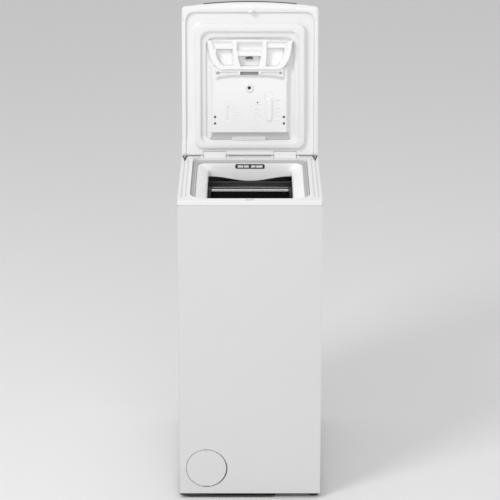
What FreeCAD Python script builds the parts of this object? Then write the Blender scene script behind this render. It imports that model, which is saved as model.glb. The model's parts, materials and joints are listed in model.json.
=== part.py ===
import FreeCAD, Part
import math
import os

# Top-loading washing machine with a horizontal drum, shown with its lid open.
# Millimetres. +Z up, +X to the user's right, -Y to the user.
# Origin: middle of the footprint, on the floor.

Vector = FreeCAD.Vector

# ---- driving dimensions -------------------------------------------------
HALF_WIDTH = 200.0          # cabinet is 400 wide
HALF_DEPTH = 300.0          # and 600 deep
SHEET = 1.2                 # painted sheet steel
BASE_Z = 14.0               # underside of the base frame
PANEL_TOP = 874.0           # top of the steel panels
DECK_Z = 886.0              # top of the plastic top frame
CONSOLE_TOP = 905.0
WALL = 2.5                  # moulded plastic wall

HINGE_Y = 140.0             # lid hinge axis
HINGE_Z = 884.0
LID_OPEN_DEG = 99.8         # from closed to fully open
LID_HALF = 197.5
LID_LENGTH = 437.0          # hinge axis to the front corners of the lid
LID_CROWN = 14.0            # extra length at the middle of the curved front edge
LID_UNDER = 888.0           # underside of the closed lid
LID_TOP = 906.0             # top of the closed lid

MOUTH_HALF = 166.0          # opening of the top frame
MOUTH_FRONT = -273.0
MOUTH_REAR = 134.0
MOUTH_R = 24.0              # rear corners of the opening
MOUTH_FRONT_R = 46.0        # its front corners are much rounder
LEDGE_HALF = 152.0          # inner edge of the seal ledge
LEDGE_FRONT = -259.0
LEDGE_REAR = 120.0
LEDGE_FRONT_R = 34.0
LEDGE_Z = 872.0
FUNNEL_FRONT = -112.0       # front edge of the funnel over the drum

DRUM_Y = 12.0               # drum axis, along X
DRUM_Z = 593.0
DRUM_R = 233.0
DRUM_HALF = 126.0
DRUM_SHEET = 1.2
TUB_R = 245.0               # inside of the tub
TUB_WALL = 4.0
TUB_HALF = 150.0
DOOR_HINGE_DY = 92.0        # drum door hinge pins, from the axis
DOOR_HALF = 110.0
DOOR_JOIN_DY = -16.0        # where the two drum doors meet
TRAY_LOW = 869.0            # underside of the dispenser with the lid shut
TUB_MOUTH_HALF = 133.0      # opening in the top of the tub
TUB_MOUTH_FRONT = -120.0
TUB_MOUTH_REAR = 132.0
SHAFT_R = 12.5

MOTOR_Y = 88.0
MOTOR_Z = 255.0
MOTOR_R = 62.0
PULLEY_X = 176.0
PULLEY_WIDTH = 12.0
DRUM_PULLEY_R = 140.0
MOTOR_PULLEY_R = 10.0       # belt ratio 14 to 1

FILTER_X = -124.0           # round filter cover on the front panel
FILTER_Z = 92.0
FILTER_R = 57.4
COVER_HINGE_Y = -298.4
COVER_HINGE_Z = 38.0

LEVER_PIVOT_X = 60.0        # castor lever under the front panel
LEVER_PIVOT_Y = -284.0

INLET_X = 150.0             # water inlet thread, G 3/4
INLET_Z = 820.0
DRAIN_X = -150.0
DRAIN_Z = 780.0
SPIGOT_HOLE_R = 14.5
CORD_X = -150.0
CORD_Z = 120.0

SCREW_X = 190.0             # self-tapping screws down both rear edges
SCREW_Z = (60.0, 250.0, 450.0, 650.0, 850.0)
SCREW_R = 1.9

SUMP_X = -20.0              # outlet in the bottom of the sump
SUMP_Y = -8.0
HEATER_Y = (-9.0, 15.0)
HEATER_Z = 335.0
HEATER_R = 3.2

DAMPER_X = 100.0
DAMPER_Y = (-100.0, 124.0)
SPRING_X = 172.0
SPRING_Y = (-190.0, 214.0)

NODES = {}


# ---- geometry helpers -----------------------------------------------------
def keep(name, *shapes):
    """Give a node its solids."""
    NODES[name] = shapes


def block(x0, x1, y0, y1, z0, z1):
    return Part.makeBox(x1 - x0, y1 - y0, z1 - z0, Vector(x0, y0, z0))


AXES = {"x": Vector(1, 0, 0), "y": Vector(0, 1, 0), "z": Vector(0, 0, 1)}


def rod(axis, x, y, z, radius, length):
    """A cylinder that starts at a point and runs along +axis."""
    return Part.makeCylinder(radius, length, Vector(x, y, z), AXES[axis])


def ring(axis, x, y, z, outer, inner, length):
    return rod(axis, x, y, z, outer, length).cut(rod(axis, x, y, z, inner, length))


def joined(shapes):
    shape = shapes[0].fuse(list(shapes[1:]))
    return shape.removeSplitter()


def mirrored(shape):
    return shape.mirror(Vector(0, 0, 0), Vector(1, 0, 0))


def both_sides(shape):
    return joined_group([shape, mirrored(shape)])


def joined_group(shapes):
    return Part.makeCompound(shapes)


def corner_arc(cx, cy, radius, start_deg, z):
    points = []
    for step in (0.0, 45.0, 90.0):
        angle = math.radians(start_deg + step)
        points.append(Vector(cx + radius * math.cos(angle), cy + radius * math.sin(angle), z))
    return points


def round_rect(x0, x1, y0, y1, radius, z, front_radius=None):
    """A closed wire: a rectangle with round corners, in a level plane."""
    front = radius if front_radius is None else front_radius
    corners = [
        corner_arc(x1 - radius, y1 - radius, radius, 0, z),
        corner_arc(x0 + radius, y1 - radius, radius, 90, z),
        corner_arc(x0 + front, y0 + front, front, 180, z),
        corner_arc(x1 - front, y0 + front, front, 270, z),
    ]
    edges = []
    for index, arc in enumerate(corners):
        edges.append(Part.Arc(*arc).toShape())
        following = corners[(index + 1) % len(corners)]
        edges.append(Part.LineSegment(arc[2], following[0]).toShape())
    return Part.Wire(edges)


def slab(x0, x1, y0, y1, radius, z0, z1, front_radius=None):
    """A level plate with round corners."""
    face = Part.Face(round_rect(x0, x1, y0, y1, radius, z0, front_radius))
    return face.extrude(Vector(0, 0, z1 - z0))


def prism(points, direction):
    """Extrude a closed outline given by its corners."""
    wire = Part.makePolygon(list(points) + [points[0]])
    return Part.Face(wire).extrude(direction)


def prism_x(outline_yz, x0, x1):
    return prism([Vector(x0, y, z) for y, z in outline_yz], Vector(x1 - x0, 0, 0))


def drum_rod(radius, x0, x1):
    return rod("x", x0, DRUM_Y, DRUM_Z, radius, x1 - x0)


def drum_point(radius, angle_deg):
    """Point at an angle from the top of the drum towards the rear."""
    angle = math.radians(angle_deg)
    return DRUM_Y + radius * math.sin(angle), DRUM_Z + radius * math.cos(angle)


def sector(radius, start_deg, end_deg, x0, x1):
    """A pie slice about the drum axis, for cutting arcs out of shells."""
    reach = radius * 2.0
    outline = [(DRUM_Y, DRUM_Z), drum_point(reach, start_deg), drum_point(reach, end_deg)]
    return prism_x(outline, x0, x1)


def arc_plate(outer, inner, start_deg, end_deg, x0, x1):
    shell = drum_rod(outer, x0, x1).cut(drum_rod(inner, x0, x1))
    return shell.common(sector(outer, start_deg, end_deg, x0, x1))


def opened(shape):
    """Turn a piece modelled on the closed lid to the fully open lid."""
    turned = shape.copy()
    turned.rotate(Vector(0, HINGE_Y, HINGE_Z), Vector(1, 0, 0), -LID_OPEN_DEG)
    return turned


def hose(points, radius):
    """A round tube on straight runs joined by tangent arcs, solid right through."""
    corners = [Vector(*p) for p in points]
    edges = []
    start = corners[0]
    smallest = None
    for index in range(1, len(corners) - 1):
        corner = corners[index]
        before = corners[index - 1] - corner
        after = corners[index + 1] - corner
        turn = math.pi - before.getAngle(after)
        bend = 0.45 * min(before.Length, after.Length) / math.tan(turn / 2.0)
        smallest = bend if smallest is None else min(smallest, bend)
        reach = bend * math.tan(turn / 2.0)
        before.normalize()
        after.normalize()
        entry = corner + before * reach
        leave = corner + after * reach
        inward = before + after
        inward.normalize()
        middle = corner + inward * (bend / math.cos(turn / 2.0) - bend)
        edges.append(Part.LineSegment(start, entry).toShape())
        edges.append(Part.Arc(entry, middle, leave).toShape())
        start = leave
    edges.append(Part.LineSegment(start, corners[-1]).toShape())
    path = Part.Wire(edges)
    direction = corners[1] - corners[0]
    section = Part.Wire([Part.makeCircle(radius, corners[0], direction)])
    tube = path.makePipeShell([section], True, False)
    print("hose length", round(path.Length), "tightest bend", round(smallest, 1))
    return tube


# ---- cabinet --------------------------------------------------------------
def base_frame():
    outer = slab(-196, 196, -288, 296, 10, BASE_Z, 54)
    hollow = block(-158, 158, -254, 262, BASE_Z - 1, 55)
    frame = outer.cut(hollow)
    bars = [block(-160, 160, y - 22, y + 22, 24, 50) for y in DAMPER_Y]
    lugs = []
    for x in (-60, 60):
        lugs.append(block(x - 12, x + 12, -256, -222, 49, 54))
        lugs.append(rod("z", x, -236, 17, 4, 35))
    frame = joined([frame] + bars + lugs)
    for x in (-182, 182):
        for y in (-270, 270):
            frame = frame.cut(rod("z", x, y, BASE_Z - 1, 5, 34))
    frame = frame.cut(rod("z", LEVER_PIVOT_X, LEVER_PIVOT_Y + 6, BASE_Z - 1, 4, 20))
    return frame


def levelling_feet():
    solids = []
    for x in (-182, 182):
        for y in (-270, 270):
            pad = rod("z", x, y, 0, 15, 6)
            pad = pad.makeFillet(1.2, [e for e in pad.Edges if len(e.Vertexes) == 1])
            solids.append(joined([pad, rod("z", x, y, 5, 5, 39)]))
            nut = prism([Vector(x + 9.8 * math.cos(math.radians(60 * k)),
                                y + 9.8 * math.sin(math.radians(60 * k)), 8.5)
                         for k in range(6)], Vector(0, 0, 5.5))
            solids.append(nut.cut(rod("z", x, y, 8, 5, 7)))
    return solids


def front_panel():
    half = HALF_WIDTH - 2.6
    plate = block(-half, half, -HALF_DEPTH, -HALF_DEPTH + SHEET, BASE_Z, PANEL_TOP)
    bottom_edges = [e for e in plate.Edges
                    if abs(e.BoundBox.ZMax - BASE_Z) < 0.01 and e.BoundBox.YLength > 1
                    and e.BoundBox.XLength < 0.01]
    plate = plate.makeFillet(1.0, bottom_edges)
    left = block(-half, -half + SHEET, -HALF_DEPTH, -284, BASE_Z + 4, PANEL_TOP)
    right = block(half - SHEET, half, -HALF_DEPTH, -284, BASE_Z + 4, PANEL_TOP)
    panel = joined([plate, left, right])
    panel = panel.cut(rod("y", FILTER_X, -HALF_DEPTH - 1, FILTER_Z, FILTER_R, 4))
    return panel.cut(block(FILTER_X - 23, FILTER_X + 23, -301, -298, 33.5, 42))


def side_panel(sign):
    outer = HALF_WIDTH * sign
    inner = (HALF_WIDTH - SHEET) * sign
    far = (HALF_WIDTH - 19) * sign
    low, high = sorted((outer, inner))
    plate = block(low, high, -HALF_DEPTH, HALF_DEPTH - 0.6, BASE_Z, PANEL_TOP)
    low, high = sorted((outer, far))
    flange = block(low, high, 298.2, 299.4, BASE_Z, PANEL_TOP)
    for z in SCREW_Z:
        flange = flange.cut(rod("y", SCREW_X * sign, 290, z, SCREW_R, 12))
    # spring hangers are welded to the panel near its top
    low, high = sorted(((SPRING_X - 11) * sign, outer - 0.4 * sign))
    hangers = []
    for y in SPRING_Y:
        hangers.append(block(low, high, y - 14, y + 14, 838, 842))
    return joined([plate, flange] + hangers)


def rear_panel():
    panel = block(-196, 196, 296.8, 298.2, 20, PANEL_TOP - 2)
    for x, z in ((INLET_X, INLET_Z), (DRAIN_X, DRAIN_Z)):
        half = 28 if x > 0 else 24
        pocket = block(x - half, x + half, 284, 298.2, z - half, z + half)
        inside = block(x - half + 1.4, x + half - 1.4, 285.4, 299, z - half + 1.4, z + half - 1.4)
        panel = joined([panel, pocket]).cut(inside)
    for x, z in ((INLET_X, INLET_Z), (DRAIN_X, DRAIN_Z)):
        panel = panel.cut(rod("y", x, 280, z, SPIGOT_HOLE_R, 20))
    panel = panel.cut(rod("y", CORD_X, 290, CORD_Z, 9, 12))
    for z in SCREW_Z:
        for x in (-SCREW_X, SCREW_X):
            panel = panel.cut(rod("y", x, 290, z, SCREW_R, 12))
    for z in (230, 330, 430, 530):
        rib = slab(-120, 120, z - 12, z + 12, 11.5, 0, 2)
        rib.rotate(Vector(0, 0, 0), Vector(1, 0, 0), 90)
        rib.translate(Vector(0, 297.4, 0))
        panel = panel.cut(rib)
    return panel


def cabinet_screws():
    solids = []
    for z in SCREW_Z:
        for x in (-SCREW_X, SCREW_X):
            head = rod("y", x, 299.4, z, 4, 0.6)
            shank = rod("y", x, 292, z, SCREW_R, 8)
            solids.append(joined([head, shank]))
    return solids


def top_frame():
    rear = 168.0
    plate = slab(-HALF_WIDTH, HALF_WIDTH, -HALF_DEPTH, rear, 7, PANEL_TOP, DECK_Z)
    rim = [e for e in plate.Edges if abs(e.BoundBox.ZMin - DECK_Z) < 0.01]
    plate = plate.makeFillet(2.5, rim)
    skirt = slab(-195.8, 195.8, -296, rear - 4, 6, 862, PANEL_TOP + 1)
    skirt = skirt.cut(slab(-193.3, 193.3, -293.5, rear - 6.5, 5, 861, PANEL_TOP + 2))
    step = slab(-MOUTH_HALF - 3, MOUTH_HALF + 3, MOUTH_FRONT - 3, MOUTH_REAR + 3, MOUTH_R + 2,
                868, 875)
    lugs = []
    for x in (62, 137, -68, -143):
        lugs.append(rod("x", x, HINGE_Y, HINGE_Z, 6, 6))
    frame = joined([plate, skirt, step] + lugs)
    mouth = slab(-MOUTH_HALF, MOUTH_HALF, MOUTH_FRONT, MOUTH_REAR, MOUTH_R, LEDGE_Z, DECK_Z + 1,
                 MOUTH_FRONT_R)
    throat = slab(-LEDGE_HALF, LEDGE_HALF, LEDGE_FRONT, LEDGE_REAR, MOUTH_R, 860, DECK_Z + 1,
                  LEDGE_FRONT_R)
    frame = frame.cut(mouth).cut(throat)
    for x0, x1 in ((68, 137), (-137, -68)):
        frame = frame.cut(block(x0, x1, 132, 149, 877, DECK_Z + 1))
    frame = frame.cut(block(-11, 11, -291, -280, 860, DECK_Z + 1))
    for x in (61, -144):
        frame = frame.cut(rod("x", x, HINGE_Y, HINGE_Z, 3, 83))
    # pressed grooves along both side strips
    for x0, x1 in ((176, 191), (-191, -176)):
        frame = frame.cut(slab(x0, x1, -262, 122, 7, DECK_Z - 1.2, DECK_Z + 1))
    return frame


def lid_seal():
    gap = 0.5
    outer = slab(-MOUTH_HALF + gap, MOUTH_HALF - gap, MOUTH_FRONT + gap, MOUTH_REAR - gap,
                 MOUTH_R - gap, LEDGE_Z, LEDGE_Z + 6, MOUTH_FRONT_R - gap)
    return outer.cut(slab(-LEDGE_HALF, LEDGE_HALF, LEDGE_FRONT, LEDGE_REAR, MOUTH_R,
                          LEDGE_Z - 1, LEDGE_Z + 7, LEDGE_FRONT_R))


def funnel_body(grow):
    """The loading funnel's outline, grown by a wall thickness."""
    stages = [
        (LEDGE_HALF - 3.2, LEDGE_FRONT + 3.2, LEDGE_REAR - 3.2, 24, 31, LEDGE_Z - 0.5),
        (122.0, -215.0, 117.5, 16, 22, 851.0),
        (121.0, FUNNEL_FRONT, 117.0, 14, 14, 822.0),
        (121.0, FUNNEL_FRONT, 117.0, 14, 14, 800.0),
    ]
    wires = []
    for half, front, rear, radius, front_radius, z in stages:
        wires.append(round_rect(-half - grow, half + grow, front - grow, rear + grow,
                                radius + grow, z, front_radius + grow))
    return Part.makeLoft(wires, True, True)


def loading_funnel():
    wall = funnel_body(WALL).cut(funnel_body(0.0))
    lip = slab(-LEDGE_HALF, LEDGE_HALF, LEDGE_FRONT, LEDGE_REAR, MOUTH_R, LEDGE_Z - 3.5,
               LEDGE_Z - 0.5, LEDGE_FRONT_R)
    lip = lip.cut(funnel_body(0.6))
    funnel = joined([wall, lip])
    funnel = funnel.cut(drum_rod(DRUM_R + 12, -160, 160))
    slot = block(-43, 43, 110, 130, 857, 868)
    bars = [block(x - 1.2, x + 1.2, 116.2, 119.4, 856, 869) for x in range(-36, 37, 8)]
    return joined([funnel.cut(slot)] + bars)


def door_lock():
    body = block(-24, 24, -292, -272, 838, 861)
    return body.cut(block(-12, 12, -291, -283, 845, 862))


def console_outline(inset):
    return [
        (170 + inset, PANEL_TOP - 1 + (inset > 0) * -2), (170 + inset, 889 - inset * 0.4),
        (186 + inset * 0.4, CONSOLE_TOP - inset), (HALF_DEPTH - inset, CONSOLE_TOP - inset),
        (HALF_DEPTH - inset, PANEL_TOP - 1 + (inset > 0) * -2),
    ]


def console_housing():
    outer = prism_x(console_outline(0.0), -HALF_WIDTH, HALF_WIDTH)
    outer = outer.common(block(-HALF_WIDTH, HALF_WIDTH, 170, HALF_DEPTH, PANEL_TOP, 910))
    edges = [e for e in outer.Edges if e.BoundBox.ZMin > PANEL_TOP + 1]
    outer = outer.makeFillet(2.2, edges)
    inner = prism_x(console_outline(WALL), -HALF_WIDTH + WALL, HALF_WIDTH - WALL)
    housing = outer.cut(inner)
    return housing.cut(slab(-186, 186, 196, 288, 6, 900, 910))


def control_fascia():
    plate = slab(-185.6, 185.6, 196.4, 287.6, 5.6, 902.4, CONSOLE_TOP)
    plate = plate.cut(slab(-42, 42, 218, 262, 4, 900, 910))
    plate = plate.cut(rod("z", 120, 242, 900, 5.3, 10))
    for x, y in ((-150, 242), (-110, 242)):
        plate = plate.cut(slab(x - 13.4, x + 13.4, y - 8.4, y + 8.4, 4, 900, 910))
    return plate.cut(rod("z", 65, 242, 900, 10.4, 10))


def push_button(x, y, half_x, half_y):
    cap = slab(x - half_x, x + half_x, y - half_y, y + half_y, min(half_x, half_y) - 4.4, 896, 906.6)
    rim = [e for e in cap.Edges if abs(e.BoundBox.ZMin - 906.6) < 0.01]
    return cap.makeFillet(0.8, rim)


def start_button():
    cap = rod("z", 65, 242, 896, 10, 10.8)
    rim = [e for e in cap.Edges if abs(e.BoundBox.ZMin - 906.8) < 0.01 and len(e.Vertexes) == 1]
    return cap.makeFillet(0.8, rim)


def programme_knob():
    knob = rod("z", 120, 242, CONSOLE_TOP + 0.6, 21, 15)
    rim = [e for e in knob.Edges if abs(e.BoundBox.ZMin - CONSOLE_TOP - 15.6) < 0.01
           and len(e.Vertexes) == 1]
    knob = knob.makeFillet(1.5, rim)
    for k in range(24):
        angle = math.radians(15 * k)
        knob = knob.cut(rod("z", 120 + 21.6 * math.cos(angle), 242 + 21.6 * math.sin(angle),
                            CONSOLE_TOP, 1.4, 12))
    return joined([knob, rod("z", 120, 242, 880, 5, 30)])


def control_board():
    board = block(-180, 100, 190, 292, 876, 878)
    posts = [rod("z", x, y, 878, 3, 24.4) for x in (-170, 92) for y in (205, 282)]
    return [board] + posts


# ---- water path -------------------------------------------------------------
def filter_housing():
    bezel = ring("y", FILTER_X, -296, FILTER_Z, 60, 34, 3)
    tube = ring("y", FILTER_X, -294, FILTER_Z, 37, 33, 98)
    floor = rod("y", FILTER_X, -198, FILTER_Z, 37, 4)
    foot = block(FILTER_X - 16, FILTER_X + 16, -285, -262, 54, 60)
    foot = foot.cut(rod("y", FILTER_X, -294, FILTER_Z, 36, 98))
    inlet = ring("z", FILTER_X, -230, FILTER_Z + 30, 16, 13, 34)
    inlet = inlet.cut(rod("y", FILTER_X, -294, FILTER_Z, 33, 98))
    housing = joined([bezel, tube, floor, foot, inlet])
    housing = housing.cut(rod("z", FILTER_X, -230, FILTER_Z + 20, 13, 20))
    housing = housing.cut(block(FILTER_X - 23, FILTER_X + 23, -297, -293, 30, 43))
    for x0 in (FILTER_X + 18, FILTER_X - 22):
        lug = block(x0, x0 + 4, -299.4, -292.9, 36.2, 39.8)
        rear = block(x0, x0 + 4, -295.9, -292.9, 36.2, 46)
        housing = joined([housing, lug, rear])
    return joined([housing, rod("x", FILTER_X - 20, COVER_HINGE_Y, COVER_HINGE_Z, 0.8, 40)])


def drain_filter():
    body = rod("y", FILTER_X, -287, FILTER_Z, 32.5, 80)
    for x in (-19, 19):
        for z in (-19, 19):
            body = body.cut(rod("y", FILTER_X + x, -278, FILTER_Z + z, 7, 90))
    grip = block(FILTER_X - 26, FILTER_X + 26, -293, -286, FILTER_Z - 5, FILTER_Z + 5)
    return joined([body, grip])


def filter_cover():
    disc = rod("y", FILTER_X, -HALF_DEPTH, FILTER_Z, FILTER_R - 0.9, WALL)
    disc = disc.cut(rod("y", FILTER_X, -301, FILTER_Z + FILTER_R + 1, 8, 5))
    low = block(FILTER_X - 60, FILTER_X + 60, -301, -297, 30, 36.8)
    disc = disc.cut(low)
    for x0 in (FILTER_X - 22.8, FILTER_X + 17.2):
        disc = disc.cut(block(x0, x0 + 5.6, -301, -297, 30, 41))
    lug = rod("x", FILTER_X - 16, COVER_HINGE_Y, COVER_HINGE_Z, 1.6, 32)
    cover = joined([disc, lug])
    return cover.cut(rod("x", FILTER_X - 30, COVER_HINGE_Y, COVER_HINGE_Z, 0.9, 60))


def drain_pump():
    volute = rod("x", FILTER_X + 36.9, -226, FILTER_Z, 29, 26)
    volute = volute.cut(rod("y", FILTER_X, -294, FILTER_Z, 37, 98))
    motor = block(-62, -18, -248, -204, FILTER_Z - 22, FILTER_Z + 22)
    core = rod("x", -18.5, -226, FILTER_Z, 12, 12)
    outlet = rod("y", -74, -212, FILTER_Z + 8, 9, 24)
    return joined([volute, motor, core, outlet])


def drain_hose():
    route = [(-74, -188, 100), (-74, -140, 100), (-72, -84, 84), (-62, -30, 76), (-60, 24, 75),
             (-60, 80, 76), (-61, 136, 78), (-70, 190, 84), (-90, 236, 104), (-118, 266, 146),
             (-142, 279, 198), (-160, 281.5, 252), (-170, 281, 306), (-172, 282, 362),
             (-172.5, 281, 418), (-172, 282, 474), (-171, 281, 530), (-170, 282, 586),
             (-168, 281, 636), (-159, 277, 682), (-150, 270, 724), (DRAIN_X, 269, 754)]
    return hose(route, 9)


def drain_spigot():
    """Elbow that carries the drain hose out through the rear recess."""
    body = rod("y", DRAIN_X, 254, DRAIN_Z, 15, 30)
    spout = rod("y", DRAIN_X, 284, DRAIN_Z, 12, 16)
    neck = rod("z", DRAIN_X, 269, 755, 11, DRAIN_Z - 755)
    return joined([body, spout, neck]).cut(rod("y", DRAIN_X, 262, DRAIN_Z, 8.5, 40))


def inlet_valve():
    spout = ring("y", INLET_X, 284, INLET_Z, 13.2, 9, 16)
    coil = block(INLET_X - 17, INLET_X + 17, 246, 284, INLET_Z - 18, INLET_Z + 18)
    outlet = rod("x", INLET_X - 40, 260, INLET_Z, 8, 24)
    return joined([spout, coil, outlet])


def fill_hose():
    route = [(INLET_X - 40, 260, INLET_Z), (INLET_X - 75, 260, INLET_Z), (40, 246, 828),
             (14, 214, 838), (2, 176, 847), (0, 136, 850)]
    return hose(route, 7)


def power_cord_gland():
    collar = ring("y", CORD_X, 293, CORD_Z, 9, 4.5, 7)
    flange = ring("y", CORD_X, 298.2, CORD_Z, 14, 4.5, 1.8)
    nut = ring("y", CORD_X, 292.8, CORD_Z, 13, 8.9, 4)
    return joined([collar, flange, nut])


def pressure_switch():
    return joined([rod("x", 176, 262, 560, 26, 22), rod("x", 166, 262, 560, 10, 12),
                   rod("y", 182, 226, 560, 3, 12)])


# ---- castors ------------------------------------------------------------------
def castor_lever():
    z0, z1 = 3.2, 13.2
    tip, root = -199.0, LEVER_PIVOT_X + 10
    outline = [Vector(tip, -299, z0), Vector(root, -299, z0 + 3.5), Vector(root, -299, z1),
               Vector(tip, -299, z1)]
    bar = prism(outline, Vector(0, 11, 0))
    boss = rod("z", LEVER_PIVOT_X, LEVER_PIVOT_Y + 6, 6.5, 13, 6.7)
    web = block(LEVER_PIVOT_X - 12, LEVER_PIVOT_X + 10, -290, -280, 6.8, z1)
    pivot = rod("z", LEVER_PIVOT_X, LEVER_PIVOT_Y + 6, 6.5, 3.95, 24)
    return joined([bar, boss, web, pivot])


def castor_carriage():
    bar = block(-130, 130, -247, -225, 26, 40)
    for x in (-60, 60):
        bar = bar.cut(rod("z", x, -236, 20, 4.3, 30))
    forks = []
    for x in (-105, 105):
        bar = bar.cut(block(x - 10, x + 10, -260, -210, 20, 37.5))
        for side in (-14, 11):
            forks.append(block(x + side, x + side + 3, -246, -226, 14, 30))
    carriage = joined([bar] + forks)
    for x in (-105, 105):
        carriage = carriage.cut(rod("x", x - 20, -236, 20, 3, 40))
    return carriage


def castor_wheels():
    solids = []
    for x in (-105, 105):
        tyre = rod("x", x - 9, -236, 20, 15.5, 18)
        tyre = tyre.makeFillet(2, [e for e in tyre.Edges if len(e.Vertexes) == 1])
        solids.append(joined([tyre, rod("x", x - 14, -236, 20, 2.92, 28)]))
    return solids


# ---- lid (modelled closed, then turned open) ------------------------------------
def lid_outline(inset, z0, z1, near):
    """The lid's plan shape: straight sides and a gently curved front edge."""
    half = LID_HALF - inset
    front = HINGE_Y - LID_LENGTH + inset
    crown = front - LID_CROWN
    rear = HINGE_Y - near
    edges = [
        Part.LineSegment(Vector(half, rear, z0), Vector(-half, rear, z0)).toShape(),
        Part.LineSegment(Vector(-half, rear, z0), Vector(-half, front, z0)).toShape(),
        Part.Arc(Vector(-half, front, z0), Vector(0, crown, z0), Vector(half, front, z0)).toShape(),
        Part.LineSegment(Vector(half, front, z0), Vector(half, rear, z0)).toShape(),
    ]
    solid = Part.Face(Part.Wire(edges)).extrude(Vector(0, 0, z1 - z0))
    corners = [e for e in solid.Edges if e.BoundBox.ZLength > 0.9 * (z1 - z0)
               and e.BoundBox.YMax < front + 1]
    return solid.makeFillet(max(11.0 - inset, 2.0), corners)


def lid_outer_shell():
    outer = lid_outline(0.0, LID_UNDER, LID_TOP, 8.0)
    top_rim = [e for e in outer.Edges if e.BoundBox.ZMin > LID_TOP - 0.01]
    outer = outer.makeFillet(4.0, top_rim)
    hollow = lid_outline(WALL, LID_UNDER - 1, LID_TOP - WALL, 8.0 + WALL)
    return outer.cut(hollow)


def lid_side_trims():
    inner = LID_HALF - 13.5
    outer = LID_HALF - WALL - 0.2
    trim = block(inner, outer, HINGE_Y - 399, HINGE_Y - 11, LID_UNDER, LID_UNDER + 4)
    return [trim, mirrored(trim)]


def lid_front_cap():
    cap = lid_outline(WALL + 0.2, LID_UNDER, LID_UNDER + 4, 399.6)
    return cap.cut(block(-9, 9, HINGE_Y - 432, HINGE_Y - 422, LID_UNDER - 1, LID_UNDER + 5))


def lid_grip_strip():
    reach = LID_LENGTH + LID_CROWN
    radius = (LID_HALF ** 2 + LID_CROWN ** 2) / (2 * LID_CROWN)
    centre = HINGE_Y - reach + radius
    band = ring("z", 0, centre, LID_UNDER + 1, radius + 2.6, radius + 0.1, 8)
    return band.common(block(-135, 135, HINGE_Y - reach - 10, HINGE_Y - reach + 20, 880, 910))


def lid_liner():
    half = LID_HALF - 13.8
    plate = block(-half, half, HINGE_Y - 399.4, HINGE_Y - 11, LID_UNDER, LID_UNDER + 2)
    pan = slab(-144, 144, HINGE_Y - 368, HINGE_Y - 50, 27, LID_UNDER, 899)
    pan_inside = slab(-142, 142, HINGE_Y - 366, HINGE_Y - 52, 25, LID_UNDER - 1, 897)
    lip = slab(-160, 160, HINGE_Y - 390, HINGE_Y - 25, 23, 878.6, LID_UNDER + 1)
    lip = lip.cut(slab(-157, 157, HINGE_Y - 387, HINGE_Y - 28, 20, 877, LID_UNDER + 2))
    liner = joined([plate, pan, lip]).cut(pan_inside)
    return liner


def lid_hook():
    stem = block(-8, 8, HINGE_Y - 430, HINGE_Y - 424, 872, 903)
    nose = block(-5, 5, HINGE_Y - 424.1, HINGE_Y - 421.8, 872, 878)
    return joined([stem, nose])


def lid_hinge_arms():
    solids = []
    for x0, x1 in ((70, 135), (-135, -70)):
        knuckle = rod("x", x0, HINGE_Y, HINGE_Z, 6.4, x1 - x0)
        web = block(x0, x1, HINGE_Y - 24, HINGE_Y - 3, HINGE_Z, LID_UNDER)
        arm = joined([knuckle, web])
        solids.append(arm.cut(rod("x", x0 - 1, HINGE_Y, HINGE_Z, 3.08, x1 - x0 + 2)))
    return solids


def bowl_cut(x0, x1, near, far, z0, z1):
    """A D-shaped pocket: square at the lid's front side, round at its hinge side."""
    radius = min((x1 - x0) / 2.0 - 0.5, (far - near) - 0.5)
    body = slab(x0, x1, HINGE_Y - far, HINGE_Y - near, radius * 0.75, z0, z1)
    return body


def dispenser_tray():
    bowls = slab(-126, 126, HINGE_Y - 343, HINGE_Y - 262, 22, TRAY_LOW, 896.8)
    plate = slab(-107, 107, HINGE_Y - 275, HINGE_Y - 72, 8, 882, 896.8)
    tray = joined([bowls, plate])
    tray = tray.cut(bowl_cut(-104, -50, 268, 330, 855, 893))
    tray = tray.cut(bowl_cut(50, 104, 266, 332, 855, 893))
    tray = tray.cut(bowl_cut(-38, 38, 266, 336, 855, 893))
    return tray.cut(slab(-40, 40, HINGE_Y - 262, HINGE_Y - 228, 6, 880, 893))


def dispenser_insert():
    """Softener siphon cover that clips into the middle pocket."""
    cap = slab(-35, 35, HINGE_Y - 328, HINGE_Y - 274, 24, TRAY_LOW + 5, TRAY_LOW + 8)
    stem = rod("z", 0, HINGE_Y - 300, TRAY_LOW + 8, 9, 15.9)
    cap = joined([cap, stem])
    return cap.cut(rod("z", 0, HINGE_Y - 300, 865, 4.4, 20))


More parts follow.
